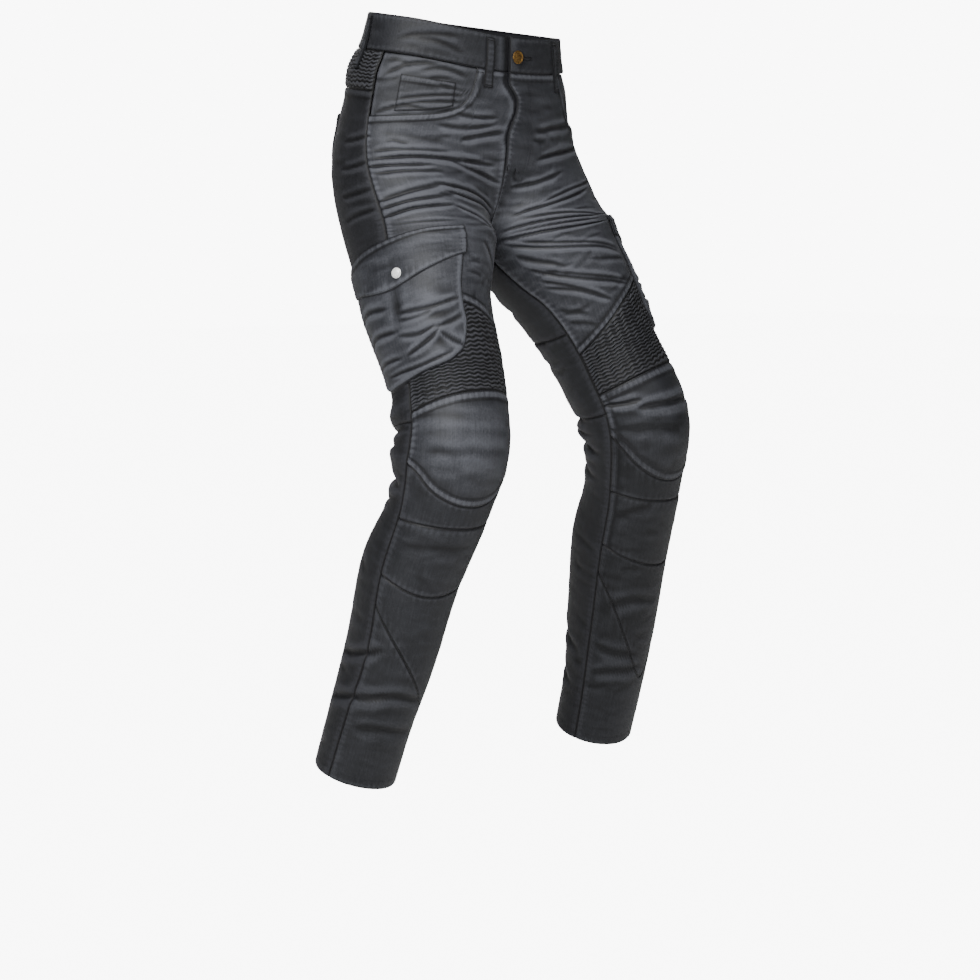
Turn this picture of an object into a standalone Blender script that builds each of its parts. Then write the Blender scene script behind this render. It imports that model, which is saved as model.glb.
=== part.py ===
"""Motorcycle trousers in waxed stretch denim, as cut and sewn pieces in their worn shape.

Metres, +Z up, the front faces -Y and the wearer's left is +X.
The origin is the middle of the waist opening, where the wearer's waist holds the garment.
Every place on the cloth is named by a side, by u round the body and by s down from the waist edge:
u is -1 at the centre front and the inner line of the leg, -0.5 at the front of the leg,
0 at the outer side, 0.5 at the back of the leg and 1 at the centre back.
"""
from math import pi

import bpy
import numpy as np

RIGHT, LEFT = -1, 1
SIDE_NAME = {RIGHT: "right", LEFT: "left"}

GAP = 0.0003            # between two pieces at a seam
CLOTH = 0.0015          # a panel with the seam allowances pressed behind it
BAND = 0.0024           # the doubled waistband
POCKET_CLOTH = 0.0012   # a pocket layer
LAY = 0.0006            # clearance below a piece that lies on another

BAND_HEIGHT = 0.0465
FRONT_DIP = 0.0075      # how far the waist edge sags at the button, below its line at the hips
FLY_END = 0.155         # where the front edges stop overlapping
FORK_START = 0.130      # where the one tube begins to turn into two legs
FORK_END = 0.272        # the crotch point
HEM = 0.985
FRONT_COLUMNS = 10
BACK_COLUMNS = 10

# name, along, y, z, half_width, front, back, tilt, roll: rings of the hip; in degrees,
# tilt drops the front and roll drops the wearer's left, whose leg steps aside
HIP_RINGS = (
    ("waist_edge", 0.000, 0.000, 0.000, 0.137, 0.094, 0.100, 7.5, 4.1),
    ("waist_seam", 0.042, 0.001, -0.042, 0.143, 0.094, 0.126, 7.0, 3.8),
    ("high_hip", 0.090, 0.004, -0.090, 0.155, 0.095, 0.143, 5.5, 3.0),
    ("hip", 0.145, 0.007, -0.145, 0.168, 0.097, 0.156, 4.0, 2.0),
    ("seat", 0.200, 0.008, -0.200, 0.180, 0.100, 0.153, 2.0, 1.0),
    ("fork", 0.280, 0.006, -0.280, 0.183, 0.102, 0.142, 0.0, 0.0),
)

# name, along, out, in, front, back: reach of each leg ring from its centre
LEG_RINGS = (
    ("groin", 0.160, 0.098, 0.090, 0.105, 0.125),
    ("crotch", 0.270, 0.096, 0.094, 0.109, 0.099),
    ("thigh", 0.350, 0.080, 0.082, 0.101, 0.076),
    ("above_knee", 0.450, 0.073, 0.071, 0.080, 0.068),
    ("knee", 0.540, 0.073, 0.070, 0.072, 0.072),
    ("below_knee", 0.620, 0.064, 0.063, 0.061, 0.071),
    ("calf", 0.710, 0.062, 0.061, 0.058, 0.079),
    ("shin", 0.810, 0.057, 0.057, 0.060, 0.070),
    ("boot_top", 0.905, 0.057, 0.053, 0.057, 0.055),
    ("hem", 0.990, 0.056, 0.052, 0.054, 0.053),
)

# name, right centre, left centre: where the stride puts the middle of each leg ring
LEG_CENTRES = (
    ("groin", (-0.088, 0.006, -0.160), (0.088, 0.006, -0.160)),
    ("crotch", (-0.087, -0.015, -0.270), (0.100, -0.013, -0.265)),
    ("thigh", (-0.098, -0.040, -0.350), (0.135, -0.039, -0.340)),
    ("above_knee", (-0.096, -0.086, -0.450), (0.177, -0.065, -0.430)),
    ("knee", (-0.105, -0.115, -0.535), (0.213, -0.089, -0.519)),
    ("below_knee", (-0.117, -0.103, -0.615), (0.229, -0.072, -0.605)),
    ("calf", (-0.134, -0.071, -0.700), (0.238, -0.041, -0.693)),
    ("shin", (-0.146, -0.039, -0.800), (0.248, -0.005, -0.793)),
    ("boot_top", (-0.159, -0.009, -0.890), (0.255, 0.028, -0.887)),
    ("hem", (-0.169, 0.015, -0.970), (0.259, 0.056, -0.967)),
)
LEG_YAW = {RIGHT: 0.0, LEFT: 10.0}   # degrees that the front of a leg turns outwards

# Lines down the leg as (s, u) pairs.
OUTSEAM = ((0.0, -0.15), (0.10, -0.11), (0.20, -0.16), (0.30, -0.14), (0.40, -0.09),
           (0.50, -0.06), (0.60, -0.03), (0.70, -0.07), (0.80, -0.11), (0.99, -0.10))
INSEAM = ((0.0, -1.0), (0.272, -1.0), (0.31, -0.93), (0.35, -0.88), (0.42, -0.86),
          (0.49, -0.89), (0.56, -0.94), (0.65, -0.96), (0.80, -0.96), (0.99, -0.93))

# Seams of the front pieces as (part of the way from inseam to outseam, s) pairs.
SCOOP_START = {RIGHT: 0.328, LEFT: 0.540}   # where the scoop of the hip pocket begins
SCOOP_COLUMNS = {                           # close together where the scoop is steep
    RIGHT: (0.0, 0.11, 0.22, 0.328, 0.345, 0.39, 0.47, 0.59, 0.72, 0.86, 1.0),
    LEFT: (0.0, 0.11, 0.22, 0.38, 0.54, 0.552, 0.582, 0.66, 0.77, 0.885, 1.0),
}
RIB_TOP = ((0.0, 0.430), (0.25, 0.412), (0.50, 0.392), (0.75, 0.380), (1.0, 0.372))
KNEE_TOP = ((0.0, 0.488), (0.5, 0.492), (0.8, 0.498), (1.0, 0.506))
KNEE_FOOT = ((0.0, 0.538), (0.16, 0.570), (0.33, 0.590), (0.50, 0.598), (0.65, 0.597),
             (0.80, 0.588), (0.92, 0.573), (1.0, 0.566))
SHIN_ONE = ((0.0, 0.612), (0.3, 0.620), (0.6, 0.627), (1.0, 0.637))
SHIN_TWO = ((0.0, 0.690), (0.25, 0.703), (0.6, 0.717), (1.0, 0.709))
SHIN_POINT = {
    RIGHT: ((0.0, 0.800), (0.1, 0.822), (0.2, 0.846), (0.3, 0.862), (0.4, 0.846),
            (0.75, 0.788), (1.0, 0.745)),
    LEFT: ((0.0, 0.730), (0.15, 0.765), (0.35, 0.826), (0.5, 0.868), (0.6, 0.882),
           (0.7, 0.860), (0.85, 0.815), (1.0, 0.770)),
}

# Seams of the back pieces as (part of the way from outseam to the inner line, s) pairs.
YOKE_FOOT = ((0.0, 0.096), (0.5, 0.095), (1.0, 0.100))
BACK_THIGH_TOP = ((0.0, 0.396), (0.5, 0.392), (1.0, 0.398))
BACK_KNEE = ((0.0, 0.517), (0.3, 0.508), (0.7, 0.506), (1.0, 0.512))

# Lines of the patch pocket and its flap on the outer thigh as (u, s) pairs, on the right leg;
# the left leg turns outwards in the stride and carries its pocket further round.
CARGO_SHIFT = {RIGHT: 0.0, LEFT: 0.14}
CARGO_FRONT_U, CARGO_BACK_U = -0.47, 0.19
FLAP_TOP = ((-0.48, 0.272), (-0.30, 0.279), (-0.14, 0.295), (0.05, 0.309), (0.20, 0.315))
FLAP_FOOT = ((-0.48, 0.324), (-0.31, 0.344), (-0.15, 0.357), (0.05, 0.350), (0.20, 0.344))
CARGO_FOOT = ((-0.48, 0.410), (-0.43, 0.436), (-0.36, 0.450), (-0.20, 0.460), (-0.01, 0.467),
              (0.12, 0.464), (0.20, 0.452))

# name, side, u, s, reach_across, reach_down, height: soft swellings of the cloth
SWELLINGS = (
    ("knee_pad_right", RIGHT, -0.48, 0.545, 0.055, 0.035, 0.006),
    ("knee_pad_left", LEFT, -0.58, 0.550, 0.055, 0.035, 0.006),
    ("yoke_right", RIGHT, 0.30, 0.066, 0.120, 0.018, 0.006),
    ("yoke_left", LEFT, 0.30, 0.066, 0.120, 0.018, 0.006),
    ("behind_knee_high_right", RIGHT, 0.35, 0.492, 0.070, 0.014, 0.007),
    ("behind_knee_mid_right", RIGHT, 0.35, 0.562, 0.070, 0.018, 0.008),
    ("behind_knee_high_left", LEFT, 0.45, 0.480, 0.070, 0.014, 0.004),
    ("behind_knee_mid_left", LEFT, 0.45, 0.535, 0.070, 0.018, 0.010),
    ("calf_right", RIGHT, 0.40, 0.700, 0.060, 0.050, 0.003),
    ("calf_left", LEFT, 0.40, 0.690, 0.060, 0.050, 0.003),
)

# name, side, u and s at the start, middle and end, height, half_width: troughs are below zero
FOLDS = (
    ("hip_under_pocket", RIGHT, -0.22, 0.136, -0.64, 0.133, -0.95, 0.118, -0.0025, 0.008),
    ("hip_upper", RIGHT, -0.18, 0.160, -0.55, 0.162, -0.96, 0.168, -0.0045, 0.008),
    ("hip_lower", RIGHT, -0.19, 0.182, -0.49, 0.185, -0.96, 0.191, -0.0040, 0.007),
    ("thigh_arc_high", RIGHT, -0.16, 0.224, -0.45, 0.207, -0.92, 0.219, -0.0025, 0.009),
    ("thigh_arc", RIGHT, -0.13, 0.249, -0.40, 0.228, -0.92, 0.242, -0.0035, 0.009),
    ("thigh_arc_low", RIGHT, -0.16, 0.272, -0.37, 0.252, -0.88, 0.266, -0.0030, 0.008),
    ("hip_high", LEFT, -0.97, 0.150, -0.69, 0.146, -0.27, 0.140, -0.0030, 0.008),
    ("hip_mid", LEFT, -0.94, 0.188, -0.63, 0.182, -0.22, 0.172, -0.0040, 0.008),
    ("thigh_one", LEFT, -0.94, 0.220, -0.65, 0.211, -0.22, 0.204, -0.0035, 0.008),
    ("thigh_two", LEFT, -0.92, 0.247, -0.65, 0.238, -0.22, 0.232, -0.0040, 0.008),
    ("thigh_three", LEFT, -0.88, 0.272, -0.66, 0.266, -0.25, 0.262, -0.0035, 0.008),
    ("thigh_four", LEFT, -0.84, 0.296, -0.66, 0.302, -0.50, 0.314, -0.0040, 0.009),
    ("thigh_five", LEFT, -0.83, 0.326, -0.66, 0.334, -0.50, 0.345, -0.0035, 0.009),
    ("knee_crease_one", RIGHT, -0.06, 0.531, -0.34, 0.527, -0.70, 0.528, -0.0025, 0.007),
    ("knee_crease_two", RIGHT, -0.07, 0.552, -0.34, 0.545, -0.70, 0.543, -0.0030, 0.007),
    ("knee_step", LEFT, -0.90, 0.508, -0.67, 0.517, -0.20, 0.530, -0.0045, 0.008),
    ("knee_crease", LEFT, -0.90, 0.530, -0.71, 0.536, -0.35, 0.548, -0.0025, 0.008),
    ("shin_crease", LEFT, -0.88, 0.773, -0.69, 0.760, -0.42, 0.768, -0.0030, 0.009),
    ("shin_low", LEFT, -0.92, 0.862, -0.74, 0.842, -0.46, 0.857, -0.0030, 0.010),
    ("calf_crease", RIGHT, 0.22, 0.815, -0.05, 0.802, -0.25, 0.807, -0.0035, 0.010),
    ("calf_crease_low", RIGHT, 0.17, 0.884, -0.15, 0.860, -0.41, 0.862, -0.0035, 0.010),
    ("shin_fold", RIGHT, -0.23, 0.845, -0.37, 0.832, -0.70, 0.842, -0.0030, 0.010),
    ("behind_knee_top_right", RIGHT, 0.05, 0.522, 0.40, 0.517, 0.85, 0.524, -0.0045, 0.009),
    ("behind_knee_low_right", RIGHT, 0.00, 0.599, 0.40, 0.595, 0.90, 0.603, -0.0070, 0.010),
    ("behind_knee_top_left", LEFT, 0.15, 0.505, 0.50, 0.502, 0.98, 0.514, -0.0045, 0.009),
    ("behind_knee_low_left", LEFT, 0.10, 0.570, 0.50, 0.563, 1.00, 0.566, -0.0065, 0.010),
    ("under_seat_right", RIGHT, 0.25, 0.318, 0.60, 0.308, 0.92, 0.300, -0.0035, 0.011),
    ("under_seat_left", LEFT, 0.25, 0.316, 0.60, 0.308, 0.92, 0.301, -0.0035, 0.011),
    ("back_thigh_right", RIGHT, 0.15, 0.362, 0.50, 0.352, 0.90, 0.345, -0.0025, 0.011),
    ("back_thigh_left", LEFT, 0.15, 0.358, 0.50, 0.350, 0.90, 0.342, -0.0025, 0.011),
    ("calf_back_right", RIGHT, 0.25, 0.846, 0.55, 0.840, 0.95, 0.850, -0.0030, 0.011),
    ("calf_back_left", LEFT, 0.25, 0.850, 0.55, 0.842, 0.95, 0.854, -0.0030, 0.011),
)


def ramp(low, high, value):
    """Zero below low, one above high and a soft step between."""
    t = np.clip((value - low) / (high - low), 0.0, 1.0)
    return t * t * (3.0 - 2.0 * t)


def curve(at, values, where):
    """Soft curve through the values given at the places `at`."""
    at = np.asarray(at, float)
    values = np.asarray(values, float)
    where = np.asarray(where, float)
    step = np.diff(at)
    rise = np.diff(values) / step
    slope = np.empty_like(values)
    slope[1:-1] = (rise[:-1] * step[1:] + rise[1:] * step[:-1]) / (step[:-1] + step[1:])
    slope[0] = rise[0]
    slope[-1] = rise[-1]
    i = np.clip(np.searchsorted(at, where, side="right") - 1, 0, len(step) - 1)
    h = step[i]
    t = (where - at[i]) / h
    rest = 1.0 - t
    ends = (1.0 + 2.0 * t) * rest**2 * values[i] + t**2 * (3.0 - 2.0 * t) * values[i + 1]
    return ends + h * (t * rest**2 * slope[i] - t**2 * rest * slope[i + 1])


def line(pairs, where):
    """Read a table of (place, value) pairs as a soft curve."""
    return curve([p[0] for p in pairs], [p[1] for p in pairs], where)


def unit(vectors):
    """Vectors of length one."""
    return vectors / np.maximum(np.linalg.norm(vectors, axis=-1, keepdims=True), 1e-12)


def hip_point(side, u, s):
    """Place on the one tube of waist and hips."""
    along = [ring[1] for ring in HIP_RINGS]
    y, z, half, front, back, tilt, roll = (
        curve(along, [ring[k] for ring in HIP_RINGS], s) for k in range(2, 9))
    turn = u * pi / 2
    across = side * half * np.cos(turn)
    depth = np.where(np.sin(turn) < 0, front, back) * np.sin(turn)
    lean = np.radians(tilt)
    drop = across * np.tan(np.radians(roll))
    return np.stack([across, y + depth * np.cos(lean), z + depth * np.sin(lean) - drop], -1)


def sagged(u, s):
    """Distance down to a place of the hip tube with the waist edge sagging at the front."""
    return s + FRONT_DIP * ramp(0.30, 1.0, -u) * (1.0 - ramp(BAND_HEIGHT, FORK_START, s))


def leg_centre(side, s):
    """Middle of the leg at s."""
    along = [ring[1] for ring in LEG_RINGS]
    centres = [row[1] if side == RIGHT else row[2] for row in LEG_CENTRES]
    return np.stack([curve(along, [c[k] for c in centres], s) for k in range(3)], -1)


def leg_point(side, u, s):
    """Place on the tube of one leg."""
    along = [ring[1] for ring in LEG_RINGS]
    out, inner, front, back = (
        curve(along, [ring[k] for ring in LEG_RINGS], s) for k in range(2, 6))
    reach = 0.012
    down = unit(leg_centre(side, s + reach) - leg_centre(side, s - reach))
    lean = ramp(0.20, 0.34, s)[..., None]
    down = unit((1.0 - lean) * np.array([0.0, 0.0, -1.0]) + lean * down)
    yaw = np.radians(LEG_YAW[side]) * np.clip((s - 0.2) / 0.3, 0.0, 1.0)
    forward = np.stack([side * np.sin(yaw), -np.cos(yaw), 0.0 * yaw], -1)
    forward = unit(forward - (forward * down).sum(-1, keepdims=True) * down)
    outward = unit(np.cross(forward, down)) * side
    turn = u * pi
    across = np.where(np.cos(turn) > 0, out, inner) * np.cos(turn)
    depth = np.where(np.sin(turn) < 0, front, back) * np.sin(turn)
    return leg_centre(side, s) + across[..., None] * outward - depth[..., None] * forward


def body(side, u, s):
    """Smooth worn form: the hip tube turns into the leg tube through the fork."""
    t = np.clip((s - FORK_START) / (FORK_END - FORK_START), 0.0, 1.0)
    even = t * t * (3.0 - 2.0 * t)
    arch = 1.0 - np.sqrt(np.maximum(1.0 - t * t, 0.0))
    near = np.clip(np.abs(u), 0.0, 1.0) ** 4
    leg = (even * (1.0 - near) + arch * near)[..., None]
    hip = hip_point(side, u, np.minimum(sagged(u, s), HIP_RINGS[-1][1]))
    return (1.0 - leg) * hip + leg * leg_point(side, u, np.maximum(s, LEG_RINGS[0][1]))


def span(s):
    """Metres of cloth for one step of u."""
    return np.interp(s, (0.0, 0.15, 0.30, 0.45, 0.65, 0.99), (0.18, 0.24, 0.25, 0.22, 0.19, 0.17))


def relief(side, u, s):
    """Height of the swellings and folds above the smooth form."""
    turn = np.where(s > FORK_END, (u + 1.0) % 2.0 - 1.0, u)
    total = np.zeros_like(s)
    for _, where, at_u, at_s, across, down, height in SWELLINGS:
        if where == side:
            away = ((turn - at_u) * span(s) / across) ** 2 + ((s - at_s) / down) ** 2
            total += height * np.exp(-away)
    for _, where, u0, s0, u1, s1, u2, s2, height, half_width in FOLDS:
        if where == side:
            total += height * fold_shape(turn, s, (u0, u1, u2), (s0, s1, s2), half_width)
    return total * calm(side, u, s)


def calm(side, u, s):
    """One where folds may run, zero under the lap of the fly and under the bellows pocket."""
    lap = -0.80 if side == LEFT else -0.93
    free_of_fly = np.maximum(ramp(lap - 0.07, lap, u), ramp(0.165, 0.195, s))
    from_pocket = u - CARGO_SHIFT[side]
    across = ramp(-0.53, -0.48, from_pocket) * (1.0 - ramp(0.20, 0.26, from_pocket))
    down = ramp(0.250, 0.275, s) * (1.0 - ramp(0.450, 0.475, s))
    return free_of_fly * (1.0 - across * down)


def fold_shape(u, s, fold_u, fold_s, half_width):
    """One along the line of a fold, falling to zero beside it and at its ends."""
    t = np.linspace(0.0, 1.0, 17)
    weights = (2 * (t - 0.5) * (t - 1), -4 * t * (t - 1), 2 * t * (t - 0.5))
    line_u = sum(w * v for w, v in zip(weights, fold_u))
    line_s = sum(w * v for w, v in zip(weights, fold_s))
    away_u = (u[..., None] - line_u) * span(s)[..., None]
    away = np.hypot(away_u, s[..., None] - line_s)
    nearest = t[np.argmin(away, axis=-1)]
    ends = ramp(0.0, 0.18, nearest) * ramp(0.0, 0.18, 1.0 - nearest)
    return ends * np.exp(-(away.min(axis=-1) / half_width) ** 2)


def skin(side, u, s):
    """Outer face of the cloth and the direction out of it."""
    u, s = np.broadcast_arrays(np.asarray(u, float), np.asarray(s, float))
    du, ds = 0.004, 0.001
    along_u = body(side, u + du, s) - body(side, u - du, s)
    along_s = body(side, u, s + ds) - body(side, u, s - ds)
    out = unit(np.cross(along_s, along_u)) * side
    place = body(side, u, s) + out * relief(side, u, s)[..., None]
    return own_side(side, s, place), out


def own_side(side, s, place):
    """Points below the fly kept on their own side of the middle."""
    margin = GAP / 2 + 0.001 * ramp(FORK_END, FORK_END + 0.02, s)
    beside = side * np.maximum(side * place[..., 0], margin)
    across = np.where(s > FLY_END, beside, place[..., 0])
    return np.stack([across, place[..., 1], place[..., 2]], -1)


def cloth(side, u, s, lift):
    """Points at a height above the cloth."""
    place, out = skin(side, u, s)
    return own_side(side, s, place + out * np.asarray(lift)[..., None])


def solid(name, outer, inner):
    """Closed wall between two grids of points that face each other."""
    rows, columns = outer.shape[:2]
    points = np.concatenate([outer.reshape(-1, 3), inner.reshape(-1, 3)])

    def at(layer, i, j):
        return layer * rows * columns + i * columns + j

    faces = []
    for i in range(rows - 1):
        for j in range(columns - 1):
            corners = at(0, i, j), at(0, i, j + 1), at(0, i + 1, j + 1), at(0, i + 1, j)
            halves = split(points, corners)
            faces += halves
            faces += [tuple(k + rows * columns for k in reversed(half)) for half in halves]
    rim = [(0, j) for j in range(columns)]
    rim += [(i, columns - 1) for i in range(1, rows)]
    rim += [(rows - 1, j) for j in range(columns - 2, -1, -1)]
    rim += [(i, 0) for i in range(rows - 2, 0, -1)]
    for (i, j), (m, n) in zip(rim, rim[1:] + rim[:1]):
        faces += split(points, (at(0, m, n), at(0, i, j), at(1, i, j), at(1, m, n)))
    add_object(name, points, faces)


def split(points, corners):
    """Two triangles across the shorter diagonal of four corners."""
    a, b, c, d = corners
    if np.linalg.norm(points[a] - points[c]) <= np.linalg.norm(points[b] - points[d]):
        return [(a, b, c), (a, c, d)]
    return [(a, b, d), (b, c, d)]


def add_object(name, points, faces):
    """Object from points and faces, all faces turned outwards."""
    volume = 0.0
    for face in faces:
        a, b, c = (points[k] for k in face[:3])
        volume += np.dot(a, np.cross(b, c))
    if volume < 0:
        faces = [tuple(reversed(face)) for face in faces]
    mesh = bpy.data.meshes.new(name)
    mesh.from_pydata([tuple(p) for p in points], [], faces)
    mesh.update()
    bpy.context.scene.collection.objects.link(bpy.data.objects.new(name, mesh))


def front_lines(side, s):
    """u of the inner line and of the outseam of a front piece at s."""
    inner = line(INSEAM, np.maximum(s, FORK_END))
    inner = np.where(s < FORK_END, -1.0, inner)
    over = 0.0
    if side == LEFT:
        over = 0.058 * ramp(0.058, 0.086, s) * (1.0 - ramp(0.094, 0.143, s))
    else:
        over = -0.120 * (1.0 - ramp(0.115, FLY_END, s))
    return inner + over, line(OUTSEAM, s)


def back_lines(side, s):
    """u of the outseam and of the inner line of a back piece at s."""
    inner = np.where(s < FORK_END, 1.0, 2.0 + line(INSEAM, np.maximum(s, FORK_END)))
    return line(OUTSEAM, s), inner


def piece_grid(side, lines, top, foot, parts, rows):
    """u and s of a piece between two side lines and two cross seams."""
    trim = GAP / 2
    down = np.asarray(rows)[:, None] + 0.0 * parts
    high = top + trim
    low = foot - trim
    s = high + (low - high) * down
    first, last = lines(side, s)
    side_trim = 0.0011
    u = first + side_trim + (last - first - 2 * side_trim) * parts
    return u, s


def even(count):
    """Even steps from zero to one."""
    return np.linspace(0.0, 1.0, count + 1)


def lap_lift(side, u, s, height):
    """How far the left front is lifted where it laps over the right front."""
    if side == RIGHT:
        return np.zeros_like(s)
    beside = 1.0 - ramp(-0.83, -0.76, u)
    return height * beside * (1.0 - ramp(0.165, 0.195, s))


def scoop(side, parts):
    """s of the upper edge of a front panel: the waist seam, then the curve of the hip pocket."""
    beyond = np.maximum(parts - SCOOP_START[side], 0.0) / (1.0 - SCOOP_START[side])
    steep = 1.0 - np.exp(-(beyond / 0.045) ** 0.6)
    return BAND_HEIGHT + 0.068 * steep + 0.011 * beyond


def front_panels():
    """Left and right front of hip and thigh, cut away at the scoop of the hip pocket."""
    rows = even(20)
    settle = ramp(0.0, 0.5, rows)[:, None]
    for side in (RIGHT, LEFT):
        columns = np.array(SCOOP_COLUMNS[side])
        parts = (1.0 - settle) * columns + settle * even(FRONT_COLUMNS)
        top = scoop(side, columns)
        foot = line(RIB_TOP, even(FRONT_COLUMNS))
        u, s = piece_grid(side, front_lines, top, foot, parts, rows)
        lift = lap_lift(side, u, s, CLOTH + 0.0005)
        outer = cloth(side, u, s, lift)
        solid("front_panel_" + SIDE_NAME[side], outer, cloth(side, u, s, lift - CLOTH))


def front_column_pieces():
    """Knee ribs, knee pad panel and the four shin pieces of each leg."""
    parts = even(FRONT_COLUMNS)
    for side in (RIGHT, LEFT):
        # name, top seam, foot seam, rows, rib height
        pieces = (
            ("knee_ribs_", line(RIB_TOP, parts), line(KNEE_TOP, parts), 28, 0.0019),
            ("knee_panel_", line(KNEE_TOP, parts), line(KNEE_FOOT, parts), 7, 0.0),
            ("shin_upper_", line(KNEE_FOOT, parts), line(SHIN_ONE, parts), 4, 0.0),
            ("shin_middle_", line(SHIN_ONE, parts), line(SHIN_TWO, parts), 6, 0.0),
            ("shin_point_", line(SHIN_TWO, parts), line(SHIN_POINT[side], parts), 9, 0.0),
            ("shin_lower_", line(SHIN_POINT[side], parts), np.full(parts.shape, HEM), 11, 0.0),
        )
        for name, top, foot, rows, rib in pieces:
            ribbed_wall(name + SIDE_NAME[side], side, front_lines, (top, foot), parts, even(rows), rib)


def ribbed_wall(name, side, lines, seams, parts, rows, rib):
    """A wall whose every other row stands out by the rib height over a plain inside."""
    u, s = piece_grid(side, lines, seams[0], seams[1], parts, rows)
    ridge = (np.arange(len(rows)) % 2)[:, None] + np.zeros(u.shape)
    lift = rib * ridge - (0.0004 if rib else 0.0)
    inside = np.full(u.shape, -CLOTH)
    solid(name, cloth(side, u, s, lift), cloth(side, u, s, inside))


def back_pieces():
    """Ribbed yoke, seat, back of the thigh and calf of each side."""
    parts = even(BACK_COLUMNS)
    band_seam = np.full(parts.shape, BAND_HEIGHT)
    hem = np.full(parts.shape, HEM)
    yoke_foot = line(YOKE_FOOT, parts)
    thigh_top = line(BACK_THIGH_TOP, parts)
    knee = line(BACK_KNEE, parts)
    # name, top seam, foot seam, spacing of the rows, rib height
    pieces = (
        ("back_yoke_", band_seam, yoke_foot, even(16), 0.0019),
        ("seat_", yoke_foot, thigh_top, even(17), 0.0),
        ("back_thigh_", thigh_top, knee, even(8), 0.0),
        ("calf_", knee, hem, even(20) ** 1.4, 0.0),
    )
    for side in (RIGHT, LEFT):
        for name, top, foot, rows, rib in pieces:
            ribbed_wall(name + SIDE_NAME[side], side, back_lines, (top, foot), parts, rows, rib)


def waistbands():
    """Two halves of the doubled waistband, the left end lapped over the right."""
    for side in (RIGHT, LEFT):
        start = -1.12 if side == RIGHT else -1.0
        u = start + (0.9992 - start) * even(18)[None, :]
        s = (BAND_HEIGHT - GAP / 2) * even(2)[:, None]
        u, s = np.broadcast_arrays(u, s)
        lift = lap_lift(side, u, s, BAND + 0.0005)
        outer = cloth(side, u, s, lift)
        solid("waistband_" + SIDE_NAME[side], outer, cloth(side, u, s, lift - BAND))


def hip_facings():
    """Pocket facing that shows in the scoop of each hip pocket, sunk below the front."""
    parts = even(8)
    tuck = 0.010
    top = np.full(parts.shape, BAND_HEIGHT)
    for side in (RIGHT, LEFT):
        start = SCOOP_START[side] - 0.026
        foot = np.maximum(scoop(side, start + (1.0 - start) * parts), 0.075) + tuck

        def facing_lines(side, s):
            first, last = front_lines(side, top[0])
            return np.full(s.shape, first + start * (last - first)), front_lines(side, s)[1]
        u, s = piece_grid(side, facing_lines, top, foot, parts, even(5))
        sunk = np.full(u.shape, -CLOTH - 2 * LAY)
        outer = cloth(side, u, s, sunk)
        solid("pocket_facing_" + SIDE_NAME[side], outer, cloth(side, u, s, sunk - POCKET_CLOTH))


def coin_pocket():
    """Small pocket on the right facing, its foot hidden at the scoop edge."""
    parts = even(5)
    u = -0.68 + 0.36 * parts[None, :] + 0.0 * even(3)[:, None]
    first, last = front_lines(RIGHT, 0.100)
    top = 0.0715
    foot = scoop(RIGHT, (u[0] - first) / (last - first)) - 0.0045
    s = top + (foot - top) * even(3)[:, None]
    lift = np.full(u.shape, -LAY)
    thick = 0.0012
    solid("coin_pocket", cloth(RIGHT, u, s, lift), cloth(RIGHT, u, s, lift - thick))


def back_pockets():
    """Patch pocket on each seat piece, pointed at the foot."""
    across = even(8)
    down = even(8)[:, None]
    for side in (RIGHT, LEFT):
        half = 0.235 - 0.035 * down
        u = 0.57 + half * (2 * across[None, :] - 1)
        foot = 0.272 - 0.016 * np.abs(2 * across - 1)
        top = 0.126 + 0.004 * across
        s = top + (foot - top) * down
        lift = np.full(u.shape, 2 * LAY + POCKET_CLOTH)
        outer = cloth(side, u, s, lift)
        solid("back_pocket_" + SIDE_NAME[side], outer, cloth(side, u, s, lift - POCKET_CLOTH))


def cargo_lift(u, s):
    """Height of the outer face of the bellows pocket above the leg."""
    over_ribs = 0.0028 + 0.0016 * ramp(0.335, 0.370, s)
    full = np.exp(-(((u + 0.15) / 0.22) ** 4 + ((s - 0.405) / 0.045) ** 2))
    pleat = np.exp(-((u + 0.15) / 0.03) ** 2) * (1.0 - ramp(0.375, 0.40, s))
    pucker = np.sin((s + 0.10 * u) * 2 * pi / 0.034) * np.exp(-((u + 0.33) / 0.09) ** 2)
    return over_ribs + full * (0.0055 - 0.0030 * pleat + 0.0018 * pucker)


def cargo_pockets():
    """Bellows pocket on the outer thigh with its flap and snap."""
    across = even(8)
    u_line = CARGO_FRONT_U + (CARGO_BACK_U - CARGO_FRONT_U) * across
    for side in (RIGHT, LEFT):
        top = line(FLAP_TOP, u_line) + 0.030
        foot = line(CARGO_FOOT, u_line)
        s = top + (foot - top) * even(9)[:, None]
        u = np.broadcast_to(u_line, s.shape)
        lift = cargo_lift(u, s)
        at_u = u + CARGO_SHIFT[side]
        outer = cloth(side, at_u, s, lift)
        solid("cargo_pocket_" + SIDE_NAME[side], outer, cloth(side, at_u, s, lift - POCKET_CLOTH))
        cargo_flap(side, u_line)


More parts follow.
